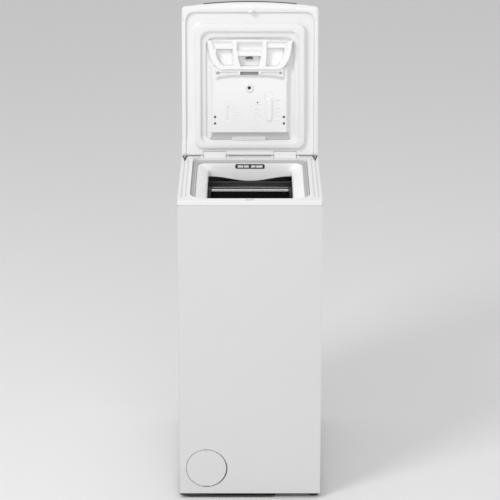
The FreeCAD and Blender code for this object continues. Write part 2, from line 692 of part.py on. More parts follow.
# ---- tub ------------------------------------------------------------------------
def tub_half(sign):
    wall = drum_rod(TUB_R + TUB_WALL, 0, TUB_HALF).cut(drum_rod(TUB_R, -1, TUB_HALF - TUB_WALL))
    flange = drum_rod(TUB_R + TUB_WALL + 8, 0, 5).cut(drum_rod(TUB_R, -1, 6))
    flange = flange.cut(block(-1, 6, -200, 200, DRUM_Z + 160, DRUM_Z + 300))
    hub = drum_rod(44, TUB_HALF - 5, TUB_HALF + 18)
    spokes = []
    for k in range(6):
        rib = block(TUB_HALF - 1, TUB_HALF + 8, DRUM_Y - 3, DRUM_Y + 3, DRUM_Z + 40, DRUM_Z + 236)
        rib.rotate(Vector(0, DRUM_Y, DRUM_Z), Vector(1, 0, 0), 60 * k + 30)
        spokes.append(rib)
    ears = []
    for y in SPRING_Y:
        ears.append(block(TUB_HALF - 2, SPRING_X + 9, y - 10, y + 10, 640, 648))
    for y in DAMPER_Y:
        ears.append(block(DAMPER_X - 12, DAMPER_X + 12, y - 12, y + 12, 350, 385))
    ears.append(block(6, 44, MOTOR_Y - 16, MOTOR_Y + 16, MOTOR_Z + MOTOR_R - 12, 378))
    half = joined([wall, flange, hub] + spokes + ears)
    half = half.cut(drum_rod(TUB_R, 1, TUB_HALF - TUB_WALL))
    half = half.cut(rod("x", -1, MOTOR_Y, MOTOR_Z, MOTOR_R, 80))
    half = half.cut(drum_rod(31, TUB_HALF - 10, TUB_HALF + 20))
    mouth = block(-1, TUB_MOUTH_HALF, TUB_MOUTH_FRONT, TUB_MOUTH_REAR, DRUM_Z, DRUM_Z + 300)
    half = half.cut(mouth)
    # open channel in the bottom for the heater and the sump outlet
    half = half.cut(block(-1, 62, -24, 30, 330, 352))
    return half if sign > 0 else mirrored(half)


def sump():
    """Shallow trough closing the channel in the tub's bottom."""
    body = block(-62, 62, -24, 30, 322, 350)
    cavity = block(-58, 58, -20, 26, 326, 352)
    inside = drum_rod(TUB_R, -70, 70)
    trough = body.cut(cavity).cut(inside)
    for y in HEATER_Y:
        trough = trough.cut(rod("x", 40, y, HEATER_Z, HEATER_R, 30))
    return trough.cut(rod("z", SUMP_X, SUMP_Y, 318, 11, 12))


def tub_bearings():
    solids = []
    for x in (TUB_HALF, -TUB_HALF - 16):
        outer = ring("x", x, DRUM_Y, DRUM_Z, 31, 26, 16)
        middle = ring("x", x + 1, DRUM_Y, DRUM_Z, 26, 17.5, 14)
        inner = ring("x", x, DRUM_Y, DRUM_Z, 17.5, SHAFT_R + 0.05, 16)
        solids.append(joined([outer, middle, inner]))
    return solids


def tub_bellows():
    outer = slab(-TUB_MOUTH_HALF, TUB_MOUTH_HALF, TUB_MOUTH_FRONT, TUB_MOUTH_REAR, 1, 700, 860)
    inner = slab(-125, 125, FUNNEL_FRONT - 3.6, 121.4, 17, 699, 861)
    column = outer.cut(inner)
    return column.common(drum_rod(TUB_R + 4, -140, 140).cut(drum_rod(TUB_R - 1, -141, 141)))


def counterweights():
    solids = []
    for y0, y1 in ((-280, -150), (176, 276)):
        mass = block(-118, 118, y0, y1, 380, 500)
        mass = mass.cut(drum_rod(TUB_R + TUB_WALL, -130, 130))
        solids.append(mass.cut(drum_rod(TUB_R + TUB_WALL + 8.5, -5.5, 5.5)))
    return solids


def heater():
    """A bent heating rod that lies in the sump."""
    front, rear = HEATER_Y
    rods = [rod("x", -46, y, HEATER_Z, HEATER_R, 110) for y in HEATER_Y]
    bend = rod("y", -46, front, HEATER_Z, HEATER_R, rear - front)
    plug = block(62, 70, front - 9, rear + 9, 327, 342.5)
    return joined(rods + [bend, plug])


def motor():
    case = rod("x", -70, MOTOR_Y, MOTOR_Z, MOTOR_R, 140)
    rim = [e for e in case.Edges if len(e.Vertexes) == 1]
    case = case.makeFillet(5, rim)
    nose = rod("x", 69, MOTOR_Y, MOTOR_Z, 20, 12)
    case = joined([case, nose])
    return case.cut(rod("x", 40, MOTOR_Y, MOTOR_Z, 8, 60))


def motor_pulley():
    shaft = rod("x", 42, MOTOR_Y, MOTOR_Z, 7.9, 130)
    wheel = rod("x", PULLEY_X - 4, MOTOR_Y, MOTOR_Z, MOTOR_PULLEY_R, PULLEY_WIDTH + 6)
    flanges = [rod("x", x, MOTOR_Y, MOTOR_Z, MOTOR_PULLEY_R + 5, 1.6)
               for x in (PULLEY_X - 4, PULLEY_X + PULLEY_WIDTH + 0.4)]
    return joined([shaft, wheel] + flanges)


def belt_loop(grow, x0, x1):
    """Solid bounded by the two pulley circles and their common tangents."""
    dy = MOTOR_Y - DRUM_Y
    dz = MOTOR_Z - DRUM_Z
    span = math.hypot(dy, dz)
    big = DRUM_PULLEY_R + grow
    small = MOTOR_PULLEY_R + grow
    along = math.atan2(dz, dy)
    lean = math.acos((big - small) / span)
    outline = []
    for angle, centre, radius in ((along + lean, (DRUM_Y, DRUM_Z), big),
                                  (along + lean, (MOTOR_Y, MOTOR_Z), small),
                                  (along - lean, (MOTOR_Y, MOTOR_Z), small),
                                  (along - lean, (DRUM_Y, DRUM_Z), big)):
        outline.append((centre[0] + radius * math.cos(angle), centre[1] + radius * math.sin(angle)))
    body = prism_x(outline, x0, x1)
    return joined([body, drum_rod(big, x0, x1), rod("x", x0, MOTOR_Y, MOTOR_Z, small, x1 - x0)])


def drive_belt():
    x0, x1 = PULLEY_X + 1, PULLEY_X + PULLEY_WIDTH - 1
    return belt_loop(3.0, x0, x1).cut(belt_loop(0.4, x0 - 1, x1 + 1))


def damper_rods():
    solids = []
    for x in (-DAMPER_X, DAMPER_X):
        for y in DAMPER_Y:
            shaft = rod("z", x, y, 150, 6, 188)
            solids.append(joined([shaft, rod("z", x, y, 336, 11, 14)]))
    return solids


def damper_cylinders():
    solids = []
    for x in (-DAMPER_X, DAMPER_X):
        for y in DAMPER_Y:
            body = rod("z", x, y, 50, 15, 190)
            solids.append(body.cut(rod("z", x, y, 72, 6.4, 180)))
    return solids


def suspension_springs():
    solids = []
    for x in (-SPRING_X, SPRING_X):
        for y in SPRING_Y:
            coil = ring("z", x, y, 664, 9, 6.6, 158)
            ends = [rod("z", x, y, 648, 2.4, 18), rod("z", x, y, 820, 2.4, 18)]
            caps = [rod("z", x, y, 664, 9, 3), rod("z", x, y, 819, 9, 3)]
            solids.append(joined([coil] + ends + caps))
    return solids


def sump_hose():
    route = [(SUMP_X, SUMP_Y, 321.9), (SUMP_X, SUMP_Y, 290), (-25, -20, 256), (-40, -48, 228),
             (-62, -90, 212), (-86, -136, 206), (-107, -182, 202), (FILTER_X, -226, 192),
             (FILTER_X, -230, 156.4)]
    return hose(route, 12)


# ---- drum -----------------------------------------------------------------------
DOOR_HINGE_DEG = math.degrees(math.asin(DOOR_HINGE_DY / DRUM_R))
DOOR_JOIN_DEG = math.degrees(math.asin(DOOR_JOIN_DY / DRUM_R))
DOOR_PIN_R = 1.5
DOOR_PIN_AT = DRUM_R - 2.0
SHELL_GAP_DEG = 1.2


def drum_shell():
    shell = drum_rod(DRUM_R, -DRUM_HALF, DRUM_HALF)
    shell = shell.cut(drum_rod(DRUM_R - DRUM_SHEET, -DRUM_HALF - 1, DRUM_HALF + 1))
    edge = DOOR_HINGE_DEG + SHELL_GAP_DEG
    shell = shell.cut(sector(DRUM_R, -edge, edge, -DOOR_HALF - 2, DOOR_HALF + 2))
    pins = []
    for angle in (-DOOR_HINGE_DEG, DOOR_HINGE_DEG):
        y, z = drum_point(DOOR_PIN_AT, angle)
        pins.append(rod("x", -DOOR_HALF - 4, y, z, DOOR_PIN_R, 2 * DOOR_HALF + 8))
    return joined([shell] + pins)


def drum_door(hinge_deg, join_deg):
    start, end = sorted((hinge_deg, join_deg))
    if hinge_deg == start:
        start += 0.4
        end -= 0.25
    else:
        start += 0.25
        end -= 0.4
    plate = arc_plate(DRUM_R, DRUM_R - DRUM_SHEET, start, end, -DOOR_HALF, DOOR_HALF)
    y, z = drum_point(DOOR_PIN_AT, hinge_deg)
    barrel = rod("x", -DOOR_HALF, y, z, DOOR_PIN_R + 0.9, 2 * DOOR_HALF)
    edge_deg = start if abs(start - join_deg) < abs(end - join_deg) else end
    inward = 1.2 if edge_deg == start else -1.2
    lo, hi = sorted((edge_deg, edge_deg + inward))
    bead = arc_plate(DRUM_R + 1.6, DRUM_R - 3, lo, hi, -DOOR_HALF, DOOR_HALF)
    door = joined([plate, barrel, bead])
    return door.cut(rod("x", -DOOR_HALF - 1, y, z, DOOR_PIN_R + 0.09, 2 * DOOR_HALF + 2))


def drum_ends():
    solids = []
    for sign, reach in ((1, PULLEY_X + PULLEY_WIDTH + 4), (-1, TUB_HALF + 16)):
        disc = drum_rod(DRUM_R - 0.5, DRUM_HALF, DRUM_HALF + 1.5)
        boss = drum_rod(60, DRUM_HALF + 1.4, DRUM_HALF + 8)
        shaft = drum_rod(SHAFT_R, DRUM_HALF + 1.4, reach)
        end = joined([disc, boss, shaft])
        solids.append(end if sign > 0 else mirrored(end))
    return solids


def drum_lifters():
    solids = []
    for angle in (100, 180, 260):
        outline = [drum_point(DRUM_R - DRUM_SHEET, angle - 9), drum_point(DRUM_R - 46, angle - 1.5),
                   drum_point(DRUM_R - 46, angle + 1.5), drum_point(DRUM_R - DRUM_SHEET, angle + 9),
                   drum_point(DRUM_R + 2, angle + 9), drum_point(DRUM_R + 2, angle - 9)]
        lifter = prism_x(outline, -118, 118)
        solids.append(lifter.common(drum_rod(DRUM_R - DRUM_SHEET, -120, 120)))
    return solids


def drum_pulley():
    rim = ring("x", PULLEY_X, DRUM_Y, DRUM_Z, DRUM_PULLEY_R, DRUM_PULLEY_R - 9, PULLEY_WIDTH)
    hub = ring("x", PULLEY_X, DRUM_Y, DRUM_Z, 26, SHAFT_R, PULLEY_WIDTH)
    spokes = []
    for k in range(6):
        bar = block(PULLEY_X + 2, PULLEY_X + 8, DRUM_Y - 6, DRUM_Y + 6,
                    DRUM_Z + 24, DRUM_Z + DRUM_PULLEY_R - 5)
        bar.rotate(Vector(0, DRUM_Y, DRUM_Z), Vector(1, 0, 0), 60 * k)
        spokes.append(bar)
    return joined([rim, hub] + spokes)


# ---- assembly -------------------------------------------------------------------
keep("base_frame", base_frame())
keep("levelling_feet", *levelling_feet())
keep("front_panel", front_panel())
keep("left_side_panel", side_panel(-1))
keep("right_side_panel", side_panel(1))
keep("rear_panel", rear_panel())
keep("cabinet_screws", *cabinet_screws())
keep("top_frame", top_frame())
keep("lid_seal", lid_seal())
keep("loading_funnel", loading_funnel())
keep("door_lock", door_lock())
keep("console_housing", console_housing())
keep("control_fascia", control_fascia())
keep("display_window", slab(-41.6, 41.6, 218.4, 261.6, 3.6, 901, CONSOLE_TOP - 0.4))
keep("option_button_1", push_button(-150, 242, 13, 8))
keep("option_button_2", push_button(-110, 242, 13, 8))
keep("start_button", start_button())
keep("programme_knob", programme_knob())
keep("control_board", *control_board())
keep("lid_hinge_pins", rod("x", 62, HINGE_Y, HINGE_Z, 3, 81), rod("x", -143, HINGE_Y, HINGE_Z, 3, 81))

keep("filter_housing", filter_housing())
keep("drain_filter", drain_filter())
keep("filter_cover", filter_cover())
keep("drain_pump", drain_pump())
keep("drain_hose", drain_hose(), drain_spigot())
keep("inlet_valve", inlet_valve())
keep("fill_hose", fill_hose())
keep("power_cord_gland", power_cord_gland())
keep("pressure_switch", pressure_switch())

keep("castor_lever", castor_lever())
keep("castor_carriage", castor_carriage())
keep("castor_wheels", *castor_wheels())

keep("lid_outer_shell", opened(lid_outer_shell()))
keep("lid_side_trims", *[opened(s) for s in lid_side_trims()])
keep("lid_front_cap", opened(lid_front_cap()))
keep("lid_grip_strip", opened(lid_grip_strip()))
keep("lid_liner", opened(lid_liner()))
keep("lid_hook", opened(lid_hook()))
keep("lid_hinge_arms", *[opened(s) for s in lid_hinge_arms()])
keep("dispenser_tray", opened(dispenser_tray()))
keep("dispenser_insert", opened(dispenser_insert()))

keep("tub_left_half", tub_half(-1), sump())
keep("tub_right_half", tub_half(1))
keep("tub_bearings", *tub_bearings())
keep("tub_bellows", tub_bellows())
keep("counterweights", *counterweights())
keep("heater", heater())
keep("motor", motor())
keep("motor_pulley", motor_pulley())
keep("drive_belt", drive_belt())
keep("damper_rods", *damper_rods())
keep("damper_cylinders", *damper_cylinders())
keep("suspension_springs", *suspension_springs())
keep("sump_hose", sump_hose())

keep("drum_shell", drum_shell())
keep("drum_ends", *drum_ends())
keep("drum_lifters", *drum_lifters())
keep("drum_pulley", drum_pulley())
keep("drum_door_front", drum_door(-DOOR_HINGE_DEG, DOOR_JOIN_DEG))
keep("drum_door_rear", drum_door(DOOR_HINGE_DEG, DOOR_JOIN_DEG))

os.makedirs("parts", exist_ok=True)
for name, shapes in NODES.items():
    shape = shapes[0] if len(shapes) == 1 else Part.makeCompound(list(shapes))
    if not shape.isValid() or not shape.Solids:
        print("BAD", name)
    box = shape.BoundBox
    print(name, len(shape.Solids), "X %.1f %.1f Y %.1f %.1f Z %.1f %.1f" % (
        box.XMin, box.XMax, box.YMin, box.YMax, box.ZMin, box.ZMax))
    shape.exportStep("parts/" + name + ".step")
print(len(NODES), "nodes")
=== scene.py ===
import json
import math
import bpy
import bmesh
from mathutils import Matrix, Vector


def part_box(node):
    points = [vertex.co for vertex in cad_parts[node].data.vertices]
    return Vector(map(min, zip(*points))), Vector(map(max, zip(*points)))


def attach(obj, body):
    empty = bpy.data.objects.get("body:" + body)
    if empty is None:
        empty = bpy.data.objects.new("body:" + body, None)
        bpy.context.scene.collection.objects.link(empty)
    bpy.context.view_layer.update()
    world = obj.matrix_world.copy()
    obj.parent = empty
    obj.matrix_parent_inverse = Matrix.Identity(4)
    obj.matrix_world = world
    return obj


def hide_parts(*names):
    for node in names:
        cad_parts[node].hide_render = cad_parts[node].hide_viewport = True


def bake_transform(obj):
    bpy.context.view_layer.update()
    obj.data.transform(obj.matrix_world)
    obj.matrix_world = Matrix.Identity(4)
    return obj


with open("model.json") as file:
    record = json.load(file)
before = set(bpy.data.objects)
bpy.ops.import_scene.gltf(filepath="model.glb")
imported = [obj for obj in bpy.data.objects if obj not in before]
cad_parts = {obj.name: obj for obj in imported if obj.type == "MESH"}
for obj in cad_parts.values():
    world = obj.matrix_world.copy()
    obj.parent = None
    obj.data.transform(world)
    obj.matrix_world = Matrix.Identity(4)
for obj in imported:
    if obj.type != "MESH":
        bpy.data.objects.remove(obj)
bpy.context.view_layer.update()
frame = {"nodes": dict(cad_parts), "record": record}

MM = 0.001
NODES = frame["nodes"]
JOINTS = {joint["name"]: joint for joint in frame["record"]["behaviour"]["joints"]}
SIDES = (("left", -1), ("right", 1))

# ---- measures read from the frame ---------------------------------------------
LID_JOINT = JOINTS["lid_hinge"]
HINGE_Y, HINGE_Z = LID_JOINT["pos_m"][1], LID_JOINT["pos_m"][2]
LID_LEAN = math.radians(LID_JOINT["range_deg"][1] - 90)
DRUM_Y, DRUM_Z = JOINTS["drum_spin"]["pos_m"][1:]
DRUM_R = (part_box("drum_shell")[1].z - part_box("drum_shell")[0].z) / 2


# ---- materials ------------------------------------------------------------------
ROLLED = (1, 14, 14)    # grain drawn out along X, as on rolled sheet


BROAD_SCALE, WEAR_SCALE = 5.0, 22.0    # noise for slow changes of colour and for worn spots
BUMP_DEPTH = 0.0006                    # relief of the fine grain, in metres
WORN_SHADE = 0.55                      # colour of worn spots against the clean colour


def node_material(name, colour, roughness, metallic=0.0, coat=0.0, grain=60.0, grain_bump=0.05,
                  tint=0.03, rough_spread=0.08, stretch=(1, 1, 1), specular=0.5, dirt=0.0):
    """A surface whose colour, gloss and relief vary gently. One number for a colour is a grey."""
    if isinstance(colour, float):
        colour = (colour, colour, colour)
    material = bpy.data.materials.new(name)
    material.use_nodes = True
    nodes, links = material.node_tree.nodes, material.node_tree.links

    def node(kind, link_to=None, **values):
        made = nodes.new("ShaderNode" + kind)
        for key, value in values.items():
            made.inputs[key.replace("_", " ")].default_value = value
        for key, source in (link_to or {}).items():
            links.new(source, made.inputs[key])
        return made

    def blend(factor, a, b):
        """Mix node for colours; a is a colour or the output of another node."""
        made = nodes.new("ShaderNodeMix")
        made.data_type = "RGBA"
        links.new(factor, made.inputs["Factor"])
        if isinstance(a, list):
            made.inputs["A"].default_value = a
        else:
            links.new(a, made.inputs["A"])
        made.inputs["B"].default_value = b
        return made.outputs["Result"]

    where = node("TexCoord").outputs["Object"]
    scaled = node("Mapping", {"Vector": where}, Scale=stretch).outputs["Vector"]
    broad = node("TexNoise", {"Vector": where}, Scale=BROAD_SCALE, Detail=4.0).outputs["Fac"]
    fine = node("TexNoise", {"Vector": scaled}, Scale=grain, Detail=3.0).outputs["Fac"]
    base = blend(broad, [c * (1 - tint) for c in colour] + [1.0],
                 [min(1.0, c * (1 + tint)) for c in colour] + [1.0])
    if dirt:
        wear = node("TexNoise", {"Vector": where}, Scale=WEAR_SCALE, Detail=8.0).outputs["Fac"]
        ramp = node("ValToRGB", {"Fac": wear})
        stops = ramp.color_ramp.elements
        stops[0].position, stops[1].position = 0.45, 0.75
        stops[1].color = (dirt, dirt, dirt, 1)
        base = blend(ramp.outputs["Color"], base, [c * WORN_SHADE for c in colour] + [1.0])
    gloss = node("MapRange", {"Value": fine}, To_Min=max(0.02, roughness - rough_spread),
                 To_Max=min(1.0, roughness + rough_spread))
    bump = node("Bump", {"Height": fine}, Strength=grain_bump, Distance=BUMP_DEPTH)

    shader = nodes["Principled BSDF"]
    shader.inputs["Metallic"].default_value = metallic
    shader.inputs["Coat Weight"].default_value = coat
    shader.inputs["Coat Roughness"].default_value = 0.1
    shader.inputs["Specular IOR Level"].default_value = specular
    links.new(base, shader.inputs["Base Color"])
    links.new(gloss.outputs["Result"], shader.inputs["Roughness"])
    links.new(bump.outputs["Normal"], shader.inputs["Normal"])
    return material


FINISHES = {
    # key: name, colour or grey level, roughness, and what differs from the defaults.
    # The first part holds the record's material slots.
    "cabinet_paint": ("cabinet_enamel", 0.70, 0.34,
                      dict(coat=0.25, grain=900, grain_bump=0.06, tint=0.008)),
    "rear_zinc": ("galvanised_sheet", (0.58, 0.60, 0.61), 0.42,
                  dict(metallic=0.85, grain=130, tint=0.10, rough_spread=0.14)),
    "white_plastic": ("white_plastic", (0.84, 0.84, 0.835), 0.30,
                      dict(coat=0.15, grain=1400, grain_bump=0.04, tint=0.008)),
    "inner_plastic": ("inner_plastic", 0.83, 0.38, dict(grain=1500, grain_bump=0.06, tint=0.01)),
    "dispenser_plastic": ("dispenser_plastic", 0.86, 0.22,
                          dict(coat=0.3, grain=1300, grain_bump=0.03, tint=0.008)),
    "seal_rubber": ("seal_rubber", 0.50, 0.62, dict(grain=700, grain_bump=0.15, tint=0.05)),
    "bellows_rubber": ("bellows_rubber", (0.10, 0.10, 0.105), 0.6,
                       dict(grain=500, grain_bump=0.15, tint=0.08)),
    "grip_rubber": ("grip_rubber", (0.035, 0.035, 0.037), 0.55,
                    dict(grain=800, grain_bump=0.25, tint=0.10)),
    "black_plastic": ("black_plastic", (0.018, 0.018, 0.019), 0.45,
                      dict(grain=700, grain_bump=0.20, tint=0.15)),
    "base_plastic": ("base_plastic", (0.06, 0.06, 0.065), 0.55,
                     dict(grain=500, grain_bump=0.20, tint=0.12)),
    "tub_plastic": ("tub_plastic", (0.50, 0.51, 0.52), 0.55,
                    dict(grain=380, grain_bump=0.15, tint=0.08)),
    "drum_steel": ("drum_steel", (0.34, 0.34, 0.35), 0.30,
                   dict(metallic=1.0, grain=90, stretch=ROLLED, tint=0.08)),
    "pin_steel": ("zinc_steel", (0.50, 0.50, 0.51), 0.36,
                  dict(metallic=1.0, grain=260, grain_bump=0.06, tint=0.10, dirt=0.25)),
    "spring_steel": ("spring_steel", (0.32, 0.32, 0.33), 0.40,
                     dict(metallic=1.0, grain=400, grain_bump=0.06, tint=0.12, dirt=0.3)),
    "bearing_steel": ("bearing_steel", (0.58, 0.58, 0.59), 0.20,
                      dict(metallic=1.0, grain=300, grain_bump=0.03, tint=0.06)),
    "cast_alloy": ("cast_alloy", (0.50, 0.50, 0.51), 0.48,
                   dict(metallic=0.9, grain=420, grain_bump=0.25, tint=0.08)),
    "motor_case": ("motor_case", (0.36, 0.36, 0.37), 0.46,
                   dict(metallic=0.8, grain=300, grain_bump=0.15, tint=0.12, dirt=0.2)),
    "concrete": ("cast_concrete", (0.40, 0.39, 0.37), 0.88,
                 dict(grain=190, grain_bump=0.8, tint=0.18, dirt=0.5)),
    "belt_rubber": ("belt_rubber", 0.02, 0.65, dict(grain=500, grain_bump=0.3, tint=0.2)),
    "hose_rubber": ("hose_rubber", (0.07, 0.07, 0.075), 0.5,
                    dict(grain=420, grain_bump=0.12, tint=0.12)),
    "clear_window": ("smoked_window", (0.012, 0.013, 0.016), 0.12,
                     dict(coat=0.8, grain=200, grain_bump=0.01, tint=0.1, rough_spread=0.03)),
    "button_plastic": ("button_plastic", (0.66, 0.66, 0.67), 0.32,
                       dict(coat=0.2, grain=1100, grain_bump=0.04, tint=0.02)),
    "knob_plastic": ("knob_plastic", (0.55, 0.55, 0.56), 0.34,
                     dict(coat=0.2, grain=1000, tint=0.02)),
    "board_green": ("board_green", (0.03, 0.16, 0.07), 0.42,
                    dict(coat=0.3, grain=160, grain_bump=0.1, tint=0.2)),
    "foot_rubber": ("foot_rubber", 0.03, 0.66, dict(grain=500, grain_bump=0.2, tint=0.15)),
    # Lit and shaded copies of the same plastics and steels, for pieces made lighter or darker than
    # their own finish: painted light and painted shade.
    # painted shade: a darker grey of the dispenser plastic, for the downward under-slope and the
    # siphon deep in the chute
    "painted_shade_plastic": ("painted_shade_plastic", 0.58, 0.45, dict(grain=1200, tint=0.02)),
    # painted shade: a darker grey laid in the shallow channels of the top frame's side strips
    "painted_groove_shade_plastic": ("painted_groove_shade_plastic", 0.66, 0.42, dict(grain=1200, tint=0.02)),
    # painted shadow: a dark grey for strips and plugs that stand in the shade of slots
    "painted_slot_shadow_plastic": ("painted_slot_shadow_plastic", 0.33, 0.5, dict(grain=1200, tint=0.02)),
    # painted light: a lighter copy of the inner plastic, which lifts the funnel's walls out of
    # their shade
    "painted_light_funnel_plastic": ("painted_light_funnel_plastic", 0.95, 0.36, dict(grain=1500, grain_bump=0.06, tint=0.01)),
    # painted shadow: near-black, without gloss, for the front drum door in the mouth's shade
    "painted_shadow_steel": ("painted_shadow_steel", (0.006, 0.006, 0.0065), 0.40,
                   dict(specular=0.0, grain=90, stretch=ROLLED, tint=0.10)),
    # painted shade: near-black steel for the rear door, the drum's rims and the door barrels
    "painted_shade_steel": ("painted_shade_steel", (0.012, 0.012, 0.0125), 0.38,
                     dict(specular=0.12, grain=90, stretch=ROLLED, tint=0.10)),
    # painted shade: a darker copy of the drum steel, for the dim lines along the doors' join
    "painted_dim_steel": ("painted_dim_steel_finish", (0.20, 0.20, 0.205), 0.30,
                   dict(metallic=1.0, grain=120, stretch=ROLLED, tint=0.08)),
}
MATERIALS = {key: node_material(name, colour, roughness, **rest)
             for key, (name, colour, roughness, rest) in FINISHES.items()}


def soften(piece, width, angle_deg):
    """A bevel, in mm, on every edge sharper than the angle."""
    bevel = piece.modifiers.new("soft_edge", "BEVEL")
    bevel.width = width * MM
    bevel.segments = 3
    bevel.limit_method = "ANGLE"
    bevel.angle_limit = math.radians(angle_deg)
    bevel.harden_normals = True


def dress_cad_nodes():
    """Gives every carried-over CAD node its finish, and most a softened edge."""
    slots = {row["node"]: row["material_slot"] for row in frame["record"]["subparts"]}
    soft_edge = {
        "front_panel": 0.5, "left_side_panel": 0.4, "right_side_panel": 0.4, "filter_cover": 0.6,
        "castor_lever": 0.8, "console_housing": 0.6, "programme_knob": 0.3,
        "lid_outer_shell": 0.6, "counterweights": 3.0, "base_frame": 1.0, "lid_hinge_arms": 0.6,
        "control_fascia": 0.3, "display_window": 0.3, "option_button_1": 0.2,
        "option_button_2": 0.2, "start_button": 0.2, "tub_left_half": 0.6, "tub_right_half": 0.6,
        "drain_pump": 0.8, "inlet_valve": 0.8, "motor": 0.5, "castor_carriage": 0.6,
    }
    for name, piece in NODES.items():
        piece.data.materials.clear()
        piece.data.materials.append(MATERIALS[slots[name]])
        if name in soft_edge:
            soften(piece, soft_edge[name], 40)


# ---- mesh helpers ----------------------------------------------------------------
def finish_piece(name, mesh, slot, body, replaces=(), smooth_deg=35, bevel=0.0, material=None,
                 across=None):
    """A new object on its body, or, where across is given, one on no body with its transform
    baked.

    material is a key of FINISHES, and the slot's own finish where it is left out.
    """
    piece = bpy.data.objects.new(name, mesh)
    bpy.context.scene.collection.objects.link(piece)
    mesh.materials.append(MATERIALS[material or slot])
    mesh.shade_smooth()
    mesh.set_sharp_from_angle(angle=math.radians(smooth_deg))
    if bevel:
        soften(piece, bevel, smooth_deg)
    if across:
        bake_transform(piece)
    else:
        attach(piece, body)
    if replaces:
        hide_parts(*replaces)
    return piece


def mesh_from(name, points, faces):
    """A mesh with its faces turned outwards."""
    mesh = bpy.data.meshes.new(name)
    mesh.from_pydata([tuple(p) for p in points], [], faces)
    mesh.validate()
    form = bmesh.new()
    form.from_mesh(mesh)
    bmesh.ops.recalc_face_normals(form, faces=form.faces)
    form.to_mesh(mesh)
    form.free()
    return mesh


def loft_mesh(name, rings, cap_first=False, cap_last=False, close=False):
    """Closed rings of equal length, joined ring to ring by quads."""
    count = len(rings[0])
    points = [p for ring in rings for p in ring]
    faces = []
    spans = len(rings) if close else len(rings) - 1
    for i in range(spans):
        low, high = i * count, ((i + 1) % len(rings)) * count
        for k in range(count):
            n = (k + 1) % count
            faces.append((low + k, low + n, high + n, high + k))
    if cap_first:
        faces.append(tuple(range(count)))
    if cap_last:
        start = (len(rings) - 1) * count
        faces.append(tuple(range(start + count - 1, start - 1, -1)))
    return mesh_from(name, points, faces)


def lofted(name, rings, slot, body, replaces=(), ends="both", **look):
    """A piece lofted through rings. ends: both or last capped, none, or joined to each other."""
    mesh = loft_mesh(name, rings, ends == "both", ends in ("both", "last"), ends == "joined")
    return finish_piece(name, mesh, slot, body, replaces, **look)


def mm(x, y, z):
    """A point of the frame, given in mm."""
    return (x * MM, y * MM, z * MM)


def flat_ring(loop, z, sign=1):
    """A level ring at height z, mirrored in X where sign is -1."""
    return [mm(sign * x, y, z) for x, y in loop]


def upright_ring(loop, y):
    """A ring of X and Z, at one Y."""
    return [mm(x, y, z) for x, z in loop]


def full_turn(sides):
    """Evenly spaced angles round a circle, in radians."""
    return [2 * math.pi * k / sides for k in range(sides)]


def arc(cx, cy, radius, start, end, steps):
    """Points along an arc, from one angle to another in degrees."""
    angles = [math.radians(start + (end - start) * k / steps) for k in range(steps + 1)]
    return [(cx + radius * math.cos(a), cy + radius * math.sin(a)) for a in angles]


def round_loop(x0, x1, y0, y1, r_low, r_high=None, corner=9, side=14):
    """A rectangle with round corners as evenly matched points, in mm. r_low rounds the y0 end."""
    r_high = r_low if r_high is None else r_high
    corners = [(x1 - r_high, y1 - r_high, r_high, 0), (x0 + r_high, y1 - r_high, r_high, 90),
               (x0 + r_low, y0 + r_low, r_low, 180), (x1 - r_low, y0 + r_low, r_low, 270)]
    loop = []
    for index, (cx, cy, radius, start) in enumerate(corners):
        turn = arc(cx, cy, radius, start, start + 90, corner)
        loop += turn
        nx, ny, nr, ns = corners[(index + 1) % 4]
        nxt = (nx + nr * math.cos(math.radians(ns)), ny + nr * math.sin(math.radians(ns)))
        for k in range(1, side):
            f = k / side
            loop.append((turn[-1][0] * (1 - f) + nxt[0] * f, turn[-1][1] * (1 - f) + nxt[1] * f))
    return loop


def sweep_mesh(name, path, radii, sides=12):
    """A round tube along a path, with one radius for each of its points."""
    rings = []
    normal = None
    for index, point in enumerate(path):
        before, after = path[max(0, index - 1)], path[min(len(path) - 1, index + 1)]
        along = (after - before).normalized()
        if normal is None:
            normal = along.orthogonal()
        normal = (normal - along * normal.dot(along)).normalized()
        across = along.cross(normal)
        rings.append([point + (normal * math.cos(a) + across * math.sin(a)) * radii[index]
                      for a in full_turn(sides)])
    return loft_mesh(name, rings, cap_first=True, cap_last=True)


def turned_mesh(name, profile, centre, axis, sides=32):
    """A turned part: its profile is (distance along the axis, radius), in mm."""
    along = Vector(axis).normalized()
    side = along.orthogonal().normalized()
    other = along.cross(side)
    spokes = [side * math.cos(a) + other * math.sin(a) for a in full_turn(sides)]
    rings = [[Vector(centre) + along * distance * MM + spoke * radius * MM for spoke in spokes]
             for distance, radius in profile]
    return loft_mesh(name, rings, cap_first=True, cap_last=True)


def joined_mesh(name, meshes):
    """One mesh made of several."""
    form = bmesh.new()
    for mesh in meshes:
        form.from_mesh(mesh)
    whole = bpy.data.meshes.new(name)
    form.to_mesh(whole)
    form.free()
    return whole


def lid_point(u, t, n):
    """Lid measures in mm: u across, t from the hinge, n out of the inner face."""
    sine, cosine = math.sin(LID_LEAN), math.cos(LID_LEAN)
    return (u * MM, HINGE_Y + (t * sine - n * cosine) * MM, HINGE_Z + (t * cosine + n * sine) * MM)


def ease(x, low, high):
    """0 below low, 1 above high, smooth between."""
    if high == low:
        return 1.0 if x >= high else 0.0
    f = min(1.0, max(0.0, (x - low) / (high - low)))
    return f * f * (3 - 2 * f)


# ---- lid -------------------------------------------------------------------------
LID_HALF = 197.5
CHANNEL_HALF = 186.0
CHANNEL_FAR = 421.0
SEAM_T = 400.0
RIM_N = -3.2


